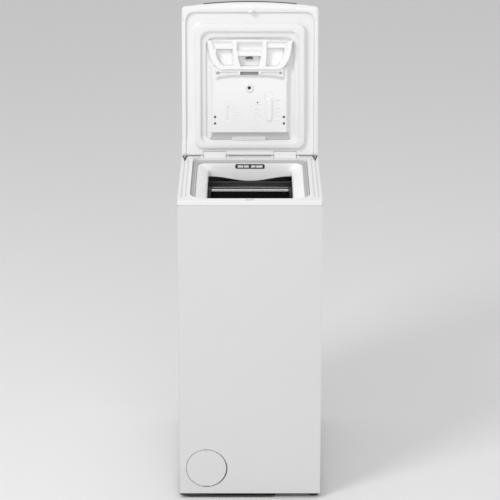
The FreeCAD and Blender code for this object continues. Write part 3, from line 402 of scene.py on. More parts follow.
def lid_inner_panel():
    """Channel, raised sealing plateau, step and pan of the lid's inner face."""
    stages = [
        # half width, near t, far t, near radius, far radius, n
        (186.0, 9.5, 421.0, 6, 26, -5.0), (185.2, 10.3, 420.2, 6, 26, -9.4),
        (183.6, 12.0, 418.5, 8, 27, -11.2), (178.0, 16.0, 412.0, 12, 29, -12.0),
        (168.0, 21.0, 400.0, 18, 30, -10.2), (161.6, 24.4, 391.6, 21, 26, -8.8),
        (159.9, 25.6, 390.0, 21, 24, -7.6), (158.9, 26.6, 388.9, 21, 22, 3.2),
        (158.0, 27.5, 388.0, 20.5, 21, 4.8), (156.6, 28.8, 386.6, 19.5, 20, 5.4),
        (145.2, 42.2, 368.8, 20, 25, 5.4), (143.8, 43.6, 367.4, 20, 26, 4.9),
        (142.6, 44.8, 366.2, 20, 27, 3.2), (141.8, 45.6, 365.2, 20, 27, -3.0),
        (140.6, 46.6, 364.0, 20, 27, -4.6), (137.5, 48.4, 361.0, 20, 27, -5.2),
        (131.0, 49.4, 352.0, 20, 27, -5.8), (128.6, 50.2, 349.2, 19, 26, -6.6),
        (127.8, 51.0, 348.4, 18, 25, -13.0),
    ]
    lip_half = 159.5
    rings = []
    for half, near, far, r_near, r_far, n in stages:
        ring = []
        for u, t in round_loop(-half, half, near, far, r_near, r_far):
            # the channel is shallow beside the hinges and deepens along both sides
            floor = -5.0 - 7.0 * ease(t, 24, 90) if half > lip_half else n
            ring.append(lid_point(u, t, max(n, floor)))
        rings.append(ring)
    lofted("lid_inner_panel", rings, "inner_plastic", "lid", ["lid_liner"], ends="last")


def lid_side_rims():
    """Raised rim along each side of the lid's inner face."""
    section = [(186.4, -9.0), (186.4, -4.4), (187.2, RIM_N), (194.0, RIM_N), (195.0, -4.2),
               (195.0, -9.0)]
    for side, sign in SIDES:
        rings = [[lid_point(sign * u, t, n) for u, n in section]
                 for t in (9.2, 9.8, 60, 120, 200, 300, SEAM_T - 0.9, SEAM_T - 0.4)]
        lofted("lid_rim_" + side, rings, "white_plastic", "lid",
               ["lid_side_trims"] if side == "left" else (), bevel=0.3)


def tip_t(u, inset):
    """Front edge of the lid: a shallow arc with rounded ends."""
    radius = (LID_HALF ** 2 + 14.0 ** 2) / 28.0
    return 451.0 - inset - (radius - math.sqrt(radius * radius - u * u))


def sample_chain(points, count):
    """Points evenly spaced along a line of points."""
    lengths = [0.0]
    for a, b in zip(points, points[1:]):
        lengths.append(lengths[-1] + math.dist(a, b))
    chain, index = [], 0
    for k in range(count):
        want = lengths[-1] * k / (count - 1)
        while index < len(points) - 2 and lengths[index + 1] < want:
            index += 1
        span = lengths[index + 1] - lengths[index]
        f = (want - lengths[index]) / span if span else 0.0
        a, b = points[index], points[index + 1]
        chain.append(tuple(p + (q - p) * f for p, q in zip(a, b)))
    return chain


def lid_front_band():
    """Band between the inner channel's round corners and the lid's free edge."""
    half, corner, seam = 195.0, 8.5, SEAM_T + 0.4
    edge_t = tip_t(half - corner, 2.7) - corner
    outer = [(half, seam)] + arc(half - corner, edge_t, corner, 0, 81, 9)
    for k in range(41):
        u = (half - corner) * (1 - k / 20.0)
        outer.append((u, tip_t(u, 2.7)))
    outer += arc(-half + corner, edge_t, corner, 90, 171, 9) + [(-half, seam)]
    inner_u, inner_t, radius = CHANNEL_HALF - 26, CHANNEL_FAR - 26, 26.2
    inner = [(CHANNEL_HALF + 0.2, seam)] + arc(inner_u, inner_t, radius, 0, 90, 12)
    inner += arc(-inner_u, inner_t, radius, 90, 180, 12) + [(-CHANNEL_HALF - 0.2, seam)]
    section = ((0.0, -9.0), (0.0, -4.6), (0.04, -3.7), (0.10, RIM_N), (0.5, RIM_N + 0.3),
               (0.92, RIM_N), (0.98, -4.0), (1.0, -5.2), (1.0, -9.0))
    rings = [[lid_point(ou + (iu - ou) * f, ot + (it - ot) * f, n) for f, n in section]
             for (ou, ot), (iu, it) in zip(sample_chain(outer, 120), sample_chain(inner, 120))]
    lofted("lid_front_band", rings, "white_plastic", "lid", ["lid_front_cap"])


def lid_corner_shadows():
    """Dark V-shaped wedge on the deck in each rear corner, beside the lid's hinge line: painted
    shadow of the gap there.
    """
    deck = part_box("top_frame")[1].z / MM - 4.0   # its flat edge, below the pan's raised lip
    wedge = ((197.4, 147.0), (189.6, 99.0), (181.4, 147.0), (187.0, 147.0), (189.6, 121.0),
             (192.4, 147.0))
    mid = (189.6, 130.0)
    for side, sign in SIDES:
        rings = []
        for inset, z in ((0.0, deck - 1.6), (0.0, deck + 0.5), (0.7, deck + 0.85)):
            loop = [(x + (mid[0] - x) * 0.06 * inset, y + (mid[1] - y) * 0.06 * inset)
                    for x, y in wedge]
            rings.append(flat_ring(loop, z, sign))
        # black wedge: painted shadow
        lofted("lid_corner_shadow_" + side, rings, "seal_rubber", "cabinet", material="black_plastic")


def hinge_arms():
    """Two flat arms that run from the hinge pins into the lid's lower edge, with grey strips in
    their slots that paint the slots' shadow.
    """
    profile = [(16.4, -5.6), (16.4, -3.4), (15.6, -2.6), (8.0, -1.4), (5.4, 0.4)]
    profile += arc(0, 0, 5.2, 60, 312, 12) + [(6.0, -5.6)]
    for number, (x0, x1) in enumerate(((-134.5, -70.5), (70.5, 134.5)), 1):
        rings = [[lid_point(x, t * shrink, n * shrink) for t, n in profile]
                 for x, shrink in ((x0, 0.9), (x0 + 0.7, 1.0), (x1 - 0.7, 1.0), (x1, 0.9))]
        lofted("lid_hinge_arm_%d" % number, rings, "white_plastic", "lid",
               ["lid_hinge_arms"] if number == 1 else (), smooth_deg=30)
        # a dark grey L-shaped strip along the slot's edges: painted shadow
        slot = [(x0 - 1.2, 12.0), (x0 - 1.2, 17.8), (x1 + 1.0, 17.8), (x1 + 1.0, 16.9),
                (x0 + 0.2, 16.9), (x0 + 0.2, 12.0)]
        rings = [[lid_point(u, t, n) for u, t in slot] for n in (-13.0, -3.3)]
        lofted("lid_hinge_slot_shadow_%d" % number, rings, "white_plastic", "lid",
               material="painted_slot_shadow_plastic")
        hinge_well(number, x0 - 2.4, x1 + 2.4)


def hinge_well(number, x0, x1):
    """Lining that closes the deck in round one hinge knuckle."""
    rear, front, wall = HINGE_Y / MM + 8.8, HINGE_Y / MM - 7.6, 1.9
    outline = [(x0, rear), (x0 + wall, rear), (x0 + wall, front + wall), (x1 - wall, front + wall),
               (x1 - wall, rear), (x1, rear), (x1, front), (x0, front)]
    rings = [flat_ring(outline, z) for z in (HINGE_Z / MM - 6.8, HINGE_Z / MM - 0.8)]
    lofted("hinge_well_%d" % number, rings, "white_plastic", "cabinet", bevel=0.3)


# ---- dispenser --------------------------------------------------------------------
FLOOR_N = -13.4
PLATE_N = 2.0
BOWL_N = 15.0
PLUG_N = -12.6
CLIP_HOLES = ((-101.6, 118.2), (-101.6, 99.2), (98.7, 118.2), (98.7, 99.2))


def bowl_half(t):
    """Half width of the bowls at distance t from the hinge: a bathtub outline."""
    if t >= 340:
        return 125.0
    f = max(0.0, min(1.0, (340 - t) / 85.0))
    return 125.0 - 8.0 * f - 41.0 * (1 - math.sqrt(max(0.0, 1 - f ** 3.2)))


def inside_edge(value, low, high, width):
    """1 well inside [low, high], easing to 0 at its ends."""
    return min(ease(value, low, low + width), 1 - ease(value, high - width, high))


def pocket(u, t, centre, near, far, half_far):
    """A D-shaped pocket: square far end, its outer side curving in towards the near end."""
    f = max(0.0, min(1.0, (far - t) / (far - near)))
    outer = half_far * math.sqrt(max(0.0, 1 - 0.72 * f ** 2.6))
    inner = half_far + 3.0 * f
    side = 1 if centre > 0 else -1
    across = (u - centre) * side
    low, high = -inner, outer + (outer - half_far)
    return min(inside_edge(t, near, far, 3.0), inside_edge(across, low, high, 3.0))


def tick(u, t, u0, u1, t0, depth=1.1):
    """Height of one raised line of a scale."""
    return depth * min(inside_edge(u, u0, u1, 1.2), inside_edge(t, t0 - 1.1, t0 + 1.1, 1.1))


def disc(u, t, cu, ct, radius, width=1.4):
    """1 inside a circle, easing to 0 across its edge."""
    return 1 - ease(math.hypot(u - cu, t - ct), radius - width / 2, radius + width / 2)


def oblong(u, t, u0, u1, t0, t1, width=1.6):
    """1 inside a long round-ended shape, easing to 0 across its edge."""
    radius = (u1 - u0) / 2
    cu = (u0 + u1) / 2
    nearest = min(max(t, t0 + radius), t1 - radius)
    return 1 - ease(math.hypot(u - cu, t - nearest), radius - width, radius)


def dispenser_height(u, t):
    """Height of the dispenser's face above the lid's inner plane."""
    w = abs(u)
    # lower plate with sloping flanks
    flank = 105.0 + 1.5 * ease(t, 200, 260)
    plate = PLATE_N - (PLATE_N - FLOOR_N) * ease(w, flank, flank + 13)
    plate += (FLOOR_N - plate) * (1 - ease(t, 70.5, 73.5))
    plate += (FLOOR_N - plate) * ease(t, 262, 275)
    n = plate
    # base band under the bowls, with an arched lower edge
    arch = 231.5 - 9.0 * (w / 100.0) ** 4
    band = PLATE_N + 7.0 * ease(t, arch, arch + 13)
    band = FLOOR_N + (band - FLOOR_N) * (1 - ease(w, 94.0, 114.0)) * ease(t, 216, 226)
    band = FLOOR_N + (band - FLOOR_N) * (1 - ease(t, 262, 266))
    n = max(n, band)
    # bowls
    half = bowl_half(t)
    arch_far = 347.0 - 4.0 * (w / 125.0) ** 2
    body = min(1 - ease(w, half - 3.5, half + 2.5), ease(t, 251.5, 257.5))
    body = min(body, 1 - ease(t, arch_far - 5.0, arch_far))
    top = BOWL_N - 3.0 * ease(t, 336, 346)
    n = max(n, FLOOR_N + (top - FLOOR_N) * body)
    # pockets
    hollow = -9.0 + 5.0 * ease(t, 320, 262)
    for centre, near, far, half_far in ((-74.5, 267.5, 317.0, 24.5), (74.5, 266.0, 320.0, 25.5)):
        deep = pocket(u, t, centre, near, far, half_far)
        n = n + (hollow - n) * deep if deep > 0 else n
    # shallow dish round both pockets' far ends
    dish = min(inside_edge(w, 46, 108 + 6 * ease(t, 320, 340), 8), inside_edge(t, 312, 342, 10))
    n -= 5.0 * dish * (1 - deep)
    # middle recess, bright bar and dark chute
    recess = inside_edge(u, -38.5, 38.0, 3.0) * ease(t, 309, 314) * (1 - ease(t, 320, 342))
    n += (3.0 - n) * recess
    bar = min(inside_edge(u, -35.5, 33.5, 2.5), inside_edge(t, 296.0, 312.5, 3.5))
    n += (12.5 - n) * bar
    taper = 6.0 * ease(t, 296, 266)
    chute = min(inside_edge(u, -34.5 + taper, 31.5 - taper, 2.2),
                inside_edge(t, 266.5, 296.5, 2.2))
    n += (-11.0 - n) * chute
    # row of slots in the base band
    for u0, u1 in ((-97, -34), (32, 92)):
        n -= 6.5 * min(inside_edge(u, u0, u1, 1.4), inside_edge(t, 242.6, 250.2, 1.4))
    n -= 20.0 * min(inside_edge(u, -28, 24.5, 1.6), inside_edge(t, 240.6, 251.0, 1.6))
    n -= 8.0 * max(disc(u, t, -93, 246.6, 4.2), disc(u, t, 89, 246.9, 3.4))
    # boss with its hole, dot and clip holes
    ring_dist = math.hypot(u + 1.8, t - 202.9)
    n += 3.2 * (1 - ease(ring_dist, 10.5, 13.5)) - 2.0 * (1 - ease(ring_dist, 5.0, 9.5))
    n -= 10.0 * disc(u, t, -1.8, 202.9, 4.4)
    n -= 4.0 * disc(u, t, 22.5, 160.3, 1.9)
    for cu, ct in CLIP_HOLES:
        n -= 7.0 * disc(u, t, cu, ct, 2.9)
    # dosing scales
    n -= 1.6 * oblong(u, t, -65.6, -57.4, 107.0, 151.0)
    n += 2.6 * oblong(u, t, 45.5, 66.5, 104.0, 176.0, 4.0)
    for u0, u1, t0, t1, lift in ((-74.0, -50.0, 96.0, 172.0, 0.5),
                                 (42.5, 69.5, 100.0, 196.0, 0.6)):
        ring = oblong(u, t, u0, u1, t0, t1, 1.2)
        ring -= oblong(u, t, u0 + 1.6, u1 - 1.6, t0 + 1.6, t1 - 1.6, 1.2)
        n += lift * max(0.0, ring)
    for index in range(6):
        n += tick(u, t, -47.0, -31.0 - 4.0 * (index % 2), 149.0 - 8.4 * index)
        n += tick(u, t, 74.0, 90.0 - 5.0 * (index % 2), 168.0 - 11.6 * index)
    for index in range(7):
        n += tick(u, t, 14.0, 30.0 - 5.0 * (index % 2), 156.0 - 7.6 * index)
    for index in range(2):
        n += tick(u, t, -2.0, 8.0, 151.0 - 9.0 * index, 0.9)
    for index in range(3):
        n += tick(u, t, -5.0 + 5 * index, 31.0 - 6 * index, 91.0 - 7.0 * index, 0.6)
    return max(n, FLOOR_N)


def dispenser_shell():
    """The dispenser's moulded face as a fine grid, cut off where it meets the lid's pan."""
    step = 1.0
    us = [-130.0 + step * k for k in range(int(260 / step) + 1)]
    ts = [66.0 + step * k for k in range(int(286 / step) + 1)]
    height = [[dispenser_height(u, t) for u in us] for t in ts]
    keep = {}
    points, faces = [], []

    def index_of(i, j):
        if (i, j) not in keep:
            keep[(i, j)] = len(points)
            points.append(lid_point(us[j], ts[i], height[i][j]))
        return keep[(i, j)]

    for i in range(len(ts) - 1):
        for j in range(len(us) - 1):
            cell = ((i, j), (i, j + 1), (i + 1, j + 1), (i + 1, j))
            if max(height[a][b] for a, b in cell) > FLOOR_N + 0.05:
                faces.append(tuple(index_of(a, b) for a, b in cell))
    mesh = mesh_from("dispenser_shell", points, faces)
    form = bmesh.new()
    form.from_mesh(mesh)
    rim = [e for e in form.edges if e.is_boundary]
    made = bmesh.ops.extrude_edge_only(form, edges=rim)
    back = Vector(lid_point(0, 0, -1.2)) - Vector(lid_point(0, 0, 0))
    lower = [v for v in made["geom"] if isinstance(v, bmesh.types.BMVert)]
    bmesh.ops.translate(form, verts=lower, vec=back)
    bmesh.ops.recalc_face_normals(form, faces=form.faces)
    form.to_mesh(mesh)
    form.free()
    finish_piece("dispenser_shell", mesh, "dispenser_plastic", "dispenser", ["dispenser_tray"],
                 smooth_deg=60)


def dispenser_outlet():
    """Under-slope at the foot of the dispenser, with the flap of the water outlet on it."""
    high, low = (105.5, 72.6, 1.6), (118.5, 51.0, -9.0)
    rings = []
    for f in (0.0, 0.08, 0.3, 0.6, 0.9, 1.0):
        half, t, n = (a + (b - a) * f for a, b in zip(high, low))
        n -= 1.6 * math.sin(math.pi * f)
        rings.append([lid_point(half * (k / 20.0 - 1), t, n) for k in range(41)]
                     + [lid_point(half * (1 - k / 20.0), t + 0.6, max(-14.0, n - 6.0))
                        for k in range(41)])
    # the under-slope's darker grey plastic is painted shade
    lofted("dispenser_under_slope", rings, "dispenser_plastic", "dispenser",
           material="painted_shade_plastic")
    rings = []
    for n, grow in ((-11.0, 0.0), (-3.4, 0.0), (-2.6, -0.8)):
        loop = round_loop(-53 - grow, 47 + grow, 50.5 - grow, 60.5 + grow, 1.6)
        rings.append([lid_point(u * (1 - 0.004 * (t - 50)), t, n + (t - 50) * 0.42)
                      for u, t in loop])
    lofted("dispenser_outlet_flap", rings, "dispenser_plastic", "dispenser", ends="last",
           bevel=0.3)


def flush_plug(name, outline, top, material="black_plastic"):
    """A small solid that sinks into the tray, with a slightly dished top; black by default, as
    painted shade in a hole.
    """
    cu = sum(u for u, _ in outline) / len(outline)
    ct = sum(t for _, t in outline) / len(outline)
    rings = [[lid_point(cu + (u - cu) * grow, ct + (t - ct) * grow, n) for u, t in outline]
             for n, grow in ((PLUG_N, 1.0), (top, 1.0), (top - 0.5, 0.86), (top - 0.7, 0.5))]
    return lofted(name, rings, "dispenser_plastic", "dispenser", material=material)


def circle(cu, ct, radius, count=20):
    """A full circle of points, in the lid's measures."""
    return [(cu + radius * math.cos(a), ct + radius * math.sin(a)) for a in full_turn(count)]


def dispenser_siphon():
    """Softener siphon in the middle chute, in a grey that paints the chute's shade, and black
    plugs that paint the shade in the mouths of the small openings.
    """
    piece = flush_plug("dispenser_siphon", round_loop(-14, 10, 283, 290, 3.0, corner=5, side=4),
                       -3.0, "painted_shade_plastic")
    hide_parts("dispenser_insert")
    # the black plugs below paint the shade inside the holes
    flush_plug("dispenser_siphon_mouth", round_loop(-12, 8, 287.4, 291.4, 1.6, corner=4, side=3),
               -2.6)
    # a dark grey plug in the outlet slot: painted shade in the slot
    flush_plug("dispenser_outlet_slot_shadow", round_loop(-26.5, 23, 241.6, 250.0, 3.0, corner=5, side=4),
               PLATE_N - 2.0, "painted_slot_shadow_plastic")
    flush_plug("dispenser_boss_hole", circle(-1.8, 202.9, 4.1), PLATE_N - 2.4)
    flush_plug("dispenser_pin_hole", circle(22.5, 160.3, 1.7, 12), PLATE_N - 1.6)
    for number, (cu, ct) in enumerate(CLIP_HOLES, 1):
        flush_plug("dispenser_clip_hole_%d" % number, circle(cu, ct, 2.6, 14), PLATE_N - 1.2)


# ---- loading mouth -------------------------------------------------------------------
def lid_seal_profile():
    """Soft seal: a rounded bead on a flat foot, all round the ledge."""
    low, high = ([c / MM for c in corner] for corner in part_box("lid_seal"))
    rings = []
    for inset, z in ((0.0, low[2]), (0.0, high[2] - 1.2), (1.2, high[2] - 0.2),
                     (6.2, high[2] - 0.1), (7.2, high[2] - 1.6), (8.2, high[2] - 0.4),
                     (12.2, high[2] - 1.0), (13.2, high[2] - 2.6), (13.4, low[2])):
        loop = round_loop(low[0] + inset, high[0] - inset, low[1] + inset, high[1] - inset,
                          45.5 - 0.87 * inset, 23.5)
        rings.append(flat_ring(loop, z))
    lofted("lid_seal_bead", rings, "seal_rubber", "cabinet", ["lid_seal"], ends="none")


def funnel_shell():
    """Sloping funnel with a bowed lower edge that follows the drum."""
    clearance = 12.0
    front = -112.0
    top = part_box("loading_funnel")[1].z / MM

    def low_z(x, y, lift):
        reach = DRUM_R / MM + clearance
        z = DRUM_Z / MM + math.sqrt(max(0.0, reach * reach - (y - DRUM_Y / MM) ** 2))
        bow = ease(y, 60, 116) * (5.0 + 13.5 * ease(abs(x), 0, 112))
        return z + bow + lift

    stages = [
        # half, front, rear, front radius, rear radius, z or None for the lower edge, lift
        (151.8, -258.8, 119.8, 34, 24, top - 3.2, 0), (151.8, -258.8, 119.8, 34, 24, top - 0.2, 0),
        (148.8, -255.8, 118.4, 31, 23, top, 0), (145.0, -251.0, 118.0, 30, 22, 869.0, 0),
        (134.0, -233.0, 117.8, 26, 20, 860.6, 0), (124.4, -217.0, 117.6, 22, 18, 853.4, 0),
        (122.2, -211.0, 117.4, 20, 16, 850.4, 0), (121.2, -188.0, 117.3, 17, 15, 842.6, 0),
        (121.0, -145.0, 117.1, 15, 14, 829.6, 0), (121.0, front + 5, 117.0, 14, 14, 823.0, 0),
        (121.0, front, 117.0, 14, 14, None, 1.2), (122.2, front - 1.2, 118.2, 15, 15, None, 0.0),
        (123.4, front - 2.4, 119.4, 16, 16, None, 1.4),
    ]
    rings = []
    for half, front, rear, r_front, r_rear, z, lift in stages:
        ring = []
        for x, y in round_loop(-half, half, front, rear, r_front, r_rear, corner=9, side=28):
            level = z if z is not None else low_z(x, y, lift)
            if z is not None and z < 844.0:
                level = max(z, low_z(x, y, 2.0))
            ring.append(mm(x, y, level))
        rings.append(ring)
    # the funnel's lighter plastic is painted light on walls that lie in shade
    lofted("funnel_shell", rings, "inner_plastic", "cabinet", ["loading_funnel"], ends="none",
           smooth_deg=42, material="painted_light_funnel_plastic")


def water_jets():
    """Black slot with its white bars in the funnel's rear wall."""
    y_face = 116.9
    rings = []
    for grow, y in ((1.4, 0.6), (1.4, -0.5), (0.4, -1.0), (0.0, -0.4), (-0.4, 0.3)):
        loop = round_loop(-41 - grow, 41 + grow, 858.4 - grow, 869.0 + grow, 2.0 + grow)
        rings.append(upright_ring(loop, y_face + y))
    lofted("water_jet_slot", rings, "black_plastic", "cabinet", ends="last")
    for number, (x0, x1) in enumerate(((-36, -19), (-17, -3), (3, 16), (18, 37)), 1):
        rings = []
        for grow, y in ((0.0, 0.2), (0.0, -1.2), (-0.7, -1.7)):
            loop = round_loop(x0 - grow, x1 + grow, 859.8 - grow, 866.6 + grow, 1.0)
            rings.append(upright_ring(loop, y_face + y))
        lofted("water_jet_bar_%d" % number, rings, "white_plastic", "cabinet", ends="last")


def top_frame_details():
    """Grey strips that paint the shade in the channels down both side strips and the shadow of the
    joint above the front panel, and the panel's front edges.
    """
    for side, sign in SIDES:
        rings = []
        for z, inset in ((884.2, 0.0), (884.95, 0.0), (885.15, 0.5), (884.9, 2.2), (884.75, 4.5)):
            loop = round_loop(176.2 + inset, 190.8 - inset, -261.8 + inset, 121.8 - inset,
                              6.8 - inset)
            rings.append(flat_ring(loop, z, sign))
        # the strip's darker grey is painted shade in the channel
        lofted("side_groove_shade_" + side, rings, "white_plastic", "cabinet",
               material="painted_groove_shade_plastic")
    joint_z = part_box("front_panel")[1].z / MM
    rings = []
    for half, front, z in ((199.4, -299.4, joint_z - 1.2), (200.1, -300.15, joint_z - 0.9),
                           (200.1, -300.15, joint_z + 0.3), (199.4, -299.2, joint_z + 0.6)):
        rings.append(flat_ring(round_loop(-half, half, front, 166.0, 3.0), z))
    # this grey strip at the joint paints the joint's shadow
    lofted("top_joint_shadow_strip", rings, "seal_rubber", "cabinet", ends="none")
    edge = [(197.2, -299.6), (197.9, -299.9), (198.8, -299.7), (199.1, -298.9), (198.9, -297.6),
            (197.2, -297.4)]
    for side, sign in SIDES:
        rings = [flat_ring(edge, z, sign) for z in (15.0, 16.0, joint_z - 2.6, joint_z - 1.8)]
        lofted("front_edge_trim_" + side, rings, "cabinet_paint", "cabinet")


def filter_cover_details():
    """Painted shadow round the cover, wider on one side, its finger notch and the fillets beside
    its hinge.
    """
    low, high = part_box("filter_cover")
    radius = (high.x - low.x) / 2 / MM
    cx, cz = (high.x + low.x) / 2 / MM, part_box("drain_filter")[0].z / MM + 32.5
    rings = []
    for k in range(145):
        angle = math.radians(-88.4 + 356.8 * k / 144)
        # wider where the shadow falls: painted shadow of the gap
        outer = radius + 1.15 + 2.1 * max(0.0, math.cos(angle + 0.25)) ** 2
        section = ((radius - 0.2, -298.6), (radius - 0.2, -300.0), (outer - 0.3, -300.1),
                   (outer, -300.0), (outer, -298.6))
        rings.append([mm(cx + r * math.cos(angle), y, cz + r * math.sin(angle))
                      for r, y in section])
    lofted("filter_cover_shadow_ring", rings, "seal_rubber", "cabinet", material="grip_rubber")

    open_half, slot_half, open_low, open_high = 23.2, 17.3, 33.3, 41.7
    ring_r = radius + 1.0
    reach = math.asin(slot_half / ring_r)
    outline = [(-open_half, open_low), (open_half, open_low), (open_half, open_high),
               (slot_half, open_high)]
    for k in range(17):
        angle = reach - 2 * reach * k / 16
        outline.append((ring_r * math.sin(angle), cz - ring_r * math.cos(angle)))
    outline += [(-slot_half, open_high), (-open_half, open_high)]
    outline = [(cx + x, z) for x, z in outline]
    rings = [upright_ring(outline, y) for y in (-299.4, -299.95)]
    lofted("filter_cover_hinge_surround", rings, "cabinet_paint", "cabinet")

    rings = []
    for inset, y in ((0.0, -297.2), (0.0, -298.9), (0.6, -299.3)):
        loop = round_loop(cx - 8.5 + inset, cx + 8.5 - inset, cz + radius - 6.0 + inset,
                          cz + radius - 0.7 - inset, 1.6)
        rings.append(upright_ring(loop, y))
    lofted("filter_cover_finger_notch", rings, "cabinet_paint", "filter_cover")


def castor_lever_bar():
    """Flat pull lever: deep at its grip end, thin where it passes under the machine."""
    low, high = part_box("castor_lever")
    x0, x1, front, foot_z = low.x / MM, high.x / MM, low.y / MM, low.z / MM
    bar_high = foot_z + 10.0
    rings = []
    for k in range(25):
        f = k / 24.0
        x = x0 + 0.6 + (x1 - x0 - 1.2) * f
        top = bar_high - 0.1 - 4.4 * ease(f, 0.0, 0.45) - 0.6 * ease(f, 0.8, 1.0)
        foot = foot_z + 0.4 + 4.4 * (1 - ease(f, 0.0, 0.12)) + 0.7 * ease(f, 0.9, 1.0)
        near = front + 0.2 + 5.0 * ease(f, 0.96, 1.0)
        far = front + 11.0
        section = [(near + 1.2, foot), (near, foot + 0.8), (near, (top + foot) / 2),
                   (near, top - 0.8), (near + 1.2, top), (far - 1, top), (far, top - 0.8),
                   (far, foot + 0.8), (far - 1, foot)]
        rings.append([mm(x, y, z) for y, z in section])
    lofted("castor_lever_bar", rings, "black_plastic", "castor_lever", ["castor_lever"])
    pivot = JOINTS["castor_lever_swing"]["pos_m"]
    turns = [math.radians(15 * k) for k in range(24)]
    rings = [[(pivot[0] + radius * MM * math.cos(a), pivot[1] + radius * MM * math.sin(a), z * MM)
              for a in turns]
             for radius, z in ((11.0, 6.8), (13.0, 7.4), (13.0, 12.4), (12.0, 13.0), (4.0, 13.1),
                               (3.8, 30.0), (3.0, 30.6))]
    lofted("castor_lever_boss", rings, "black_plastic", "castor_lever")


# ---- drum -----------------------------------------------------------------------------
SHEET = 1.2 * MM


def drum_xyz(x, angle, radius):
    """A point of the drum, its angle from the top towards the rear."""
    return (x, DRUM_Y + radius * math.sin(angle), DRUM_Z + radius * math.cos(angle))


def perforated_arc(name, start, end, x0, x1, pitch, hole, radius):
    """Curved sheet with a staggered grid of real holes, as an outer skin."""
    columns = max(2, round((x1 - x0) / pitch))
    rows = max(2, round((end - start) * radius / pitch))
    dx, da = (x1 - x0) / columns, (end - start) / rows
    points, faces = [], []
    corner = {}

    def corner_index(i, j):
        if (i, j) not in corner:
            corner[(i, j)] = len(points)
            points.append(drum_xyz(x0 + dx * j, start + da * i, radius))
        return corner[(i, j)]

    sides = 8
    for i in range(rows):
        for j in range(columns):
            square = [corner_index(i, j), corner_index(i, j + 1), corner_index(i + 1, j + 1),
                      corner_index(i + 1, j)]
            if (i + j) % 2 or i in (0, rows - 1) or j in (0, columns - 1):
                faces.append(tuple(square))
                continue
            cx, ca = x0 + dx * (j + 0.5), start + da * (i + 0.5)
            first = len(points)
            for k in range(sides):
                turn = math.radians(225 + 360.0 * k / sides)
                points.append(drum_xyz(cx + hole * math.cos(turn),
                                       ca + hole * math.sin(turn) / radius, radius))
            for side in range(4):
                a, b = square[side], square[(side + 1) % 4]
                k = 2 * side
                faces.append((a, b, first + (k + 2) % sides, first + k + 1, first + k))
    return mesh_from(name, points, faces)


def thicken(piece):
    """Gives an outer skin the sheet's thickness, inwards."""
    solid = piece.modifiers.new("sheet", "SOLIDIFY")
    solid.thickness = SHEET
    solid.offset = -1.0


def drum_pieces():
    """Perforated drum skin, its two doors and the plain rim at each end of the opening; the doors
    and rims are near-black steel, painted shade.
    """
    angles = {}
    for name in ("front", "rear"):
        place = JOINTS["drum_door_%s_hinge" % name]["pos_m"]
        angles[name] = math.atan2(place[1] - DRUM_Y, place[2] - DRUM_Z)
    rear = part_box("drum_door_rear")
    half = rear[1].x
    join = math.asin((rear[0].y - 0.9 * MM - DRUM_Y) / DRUM_R)
    edge = 0.6 * MM / DRUM_R
    pitch, hole = 7.2 * MM, 2.1 * MM
    for name, start, end in (("front", angles["front"] + 3 * edge, join - 2 * edge),
                             ("rear", join + 2 * edge, angles["rear"] - 3 * edge)):
        mesh = perforated_arc("door", start, end, -half, half, pitch, hole, DRUM_R)
        # the front door's near-black steel and the rear door's are painted shade
        thicken(finish_piece("drum_door_%s_sheet" % name, mesh, "drum_steel",
                             "drum_door_" + name, ["drum_door_" + name],
                             material="painted_shadow_steel" if name == "front" else "painted_shade_steel"))
        door_edges(name, start, end, half)
    rim = angles["rear"] + 1.2 * math.pi / 180
    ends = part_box("drum_shell")
    shell = perforated_arc("shell", rim, 2 * math.pi - rim, ends[0].x, ends[1].x, 9.0 * MM,
                           2.3 * MM, DRUM_R)
    thicken(finish_piece("drum_shell_sheet", shell, "drum_steel", "drum", ["drum_shell"]))
    for side, sign in SIDES:
        x0, x1 = sorted((sign * (half + 2 * MM), sign * ends[1].x))
        section = ((x0, DRUM_R - SHEET), (x0, DRUM_R), (x1, DRUM_R), (x1, DRUM_R - SHEET))
        points = [drum_xyz(x, -rim + 2 * rim * k / 24, r) for x, r in section for k in range(25)]
        faces = []
        for i in range(4):
            for k in range(24):
                a, b = i * 25 + k, ((i + 1) % 4) * 25 + k
                faces.append((a, a + 1, b + 1, b))
        finish_piece("drum_rim_" + side, mesh_from("strip", points, faces), "drum_steel", "drum",
                     material="painted_shade_steel")


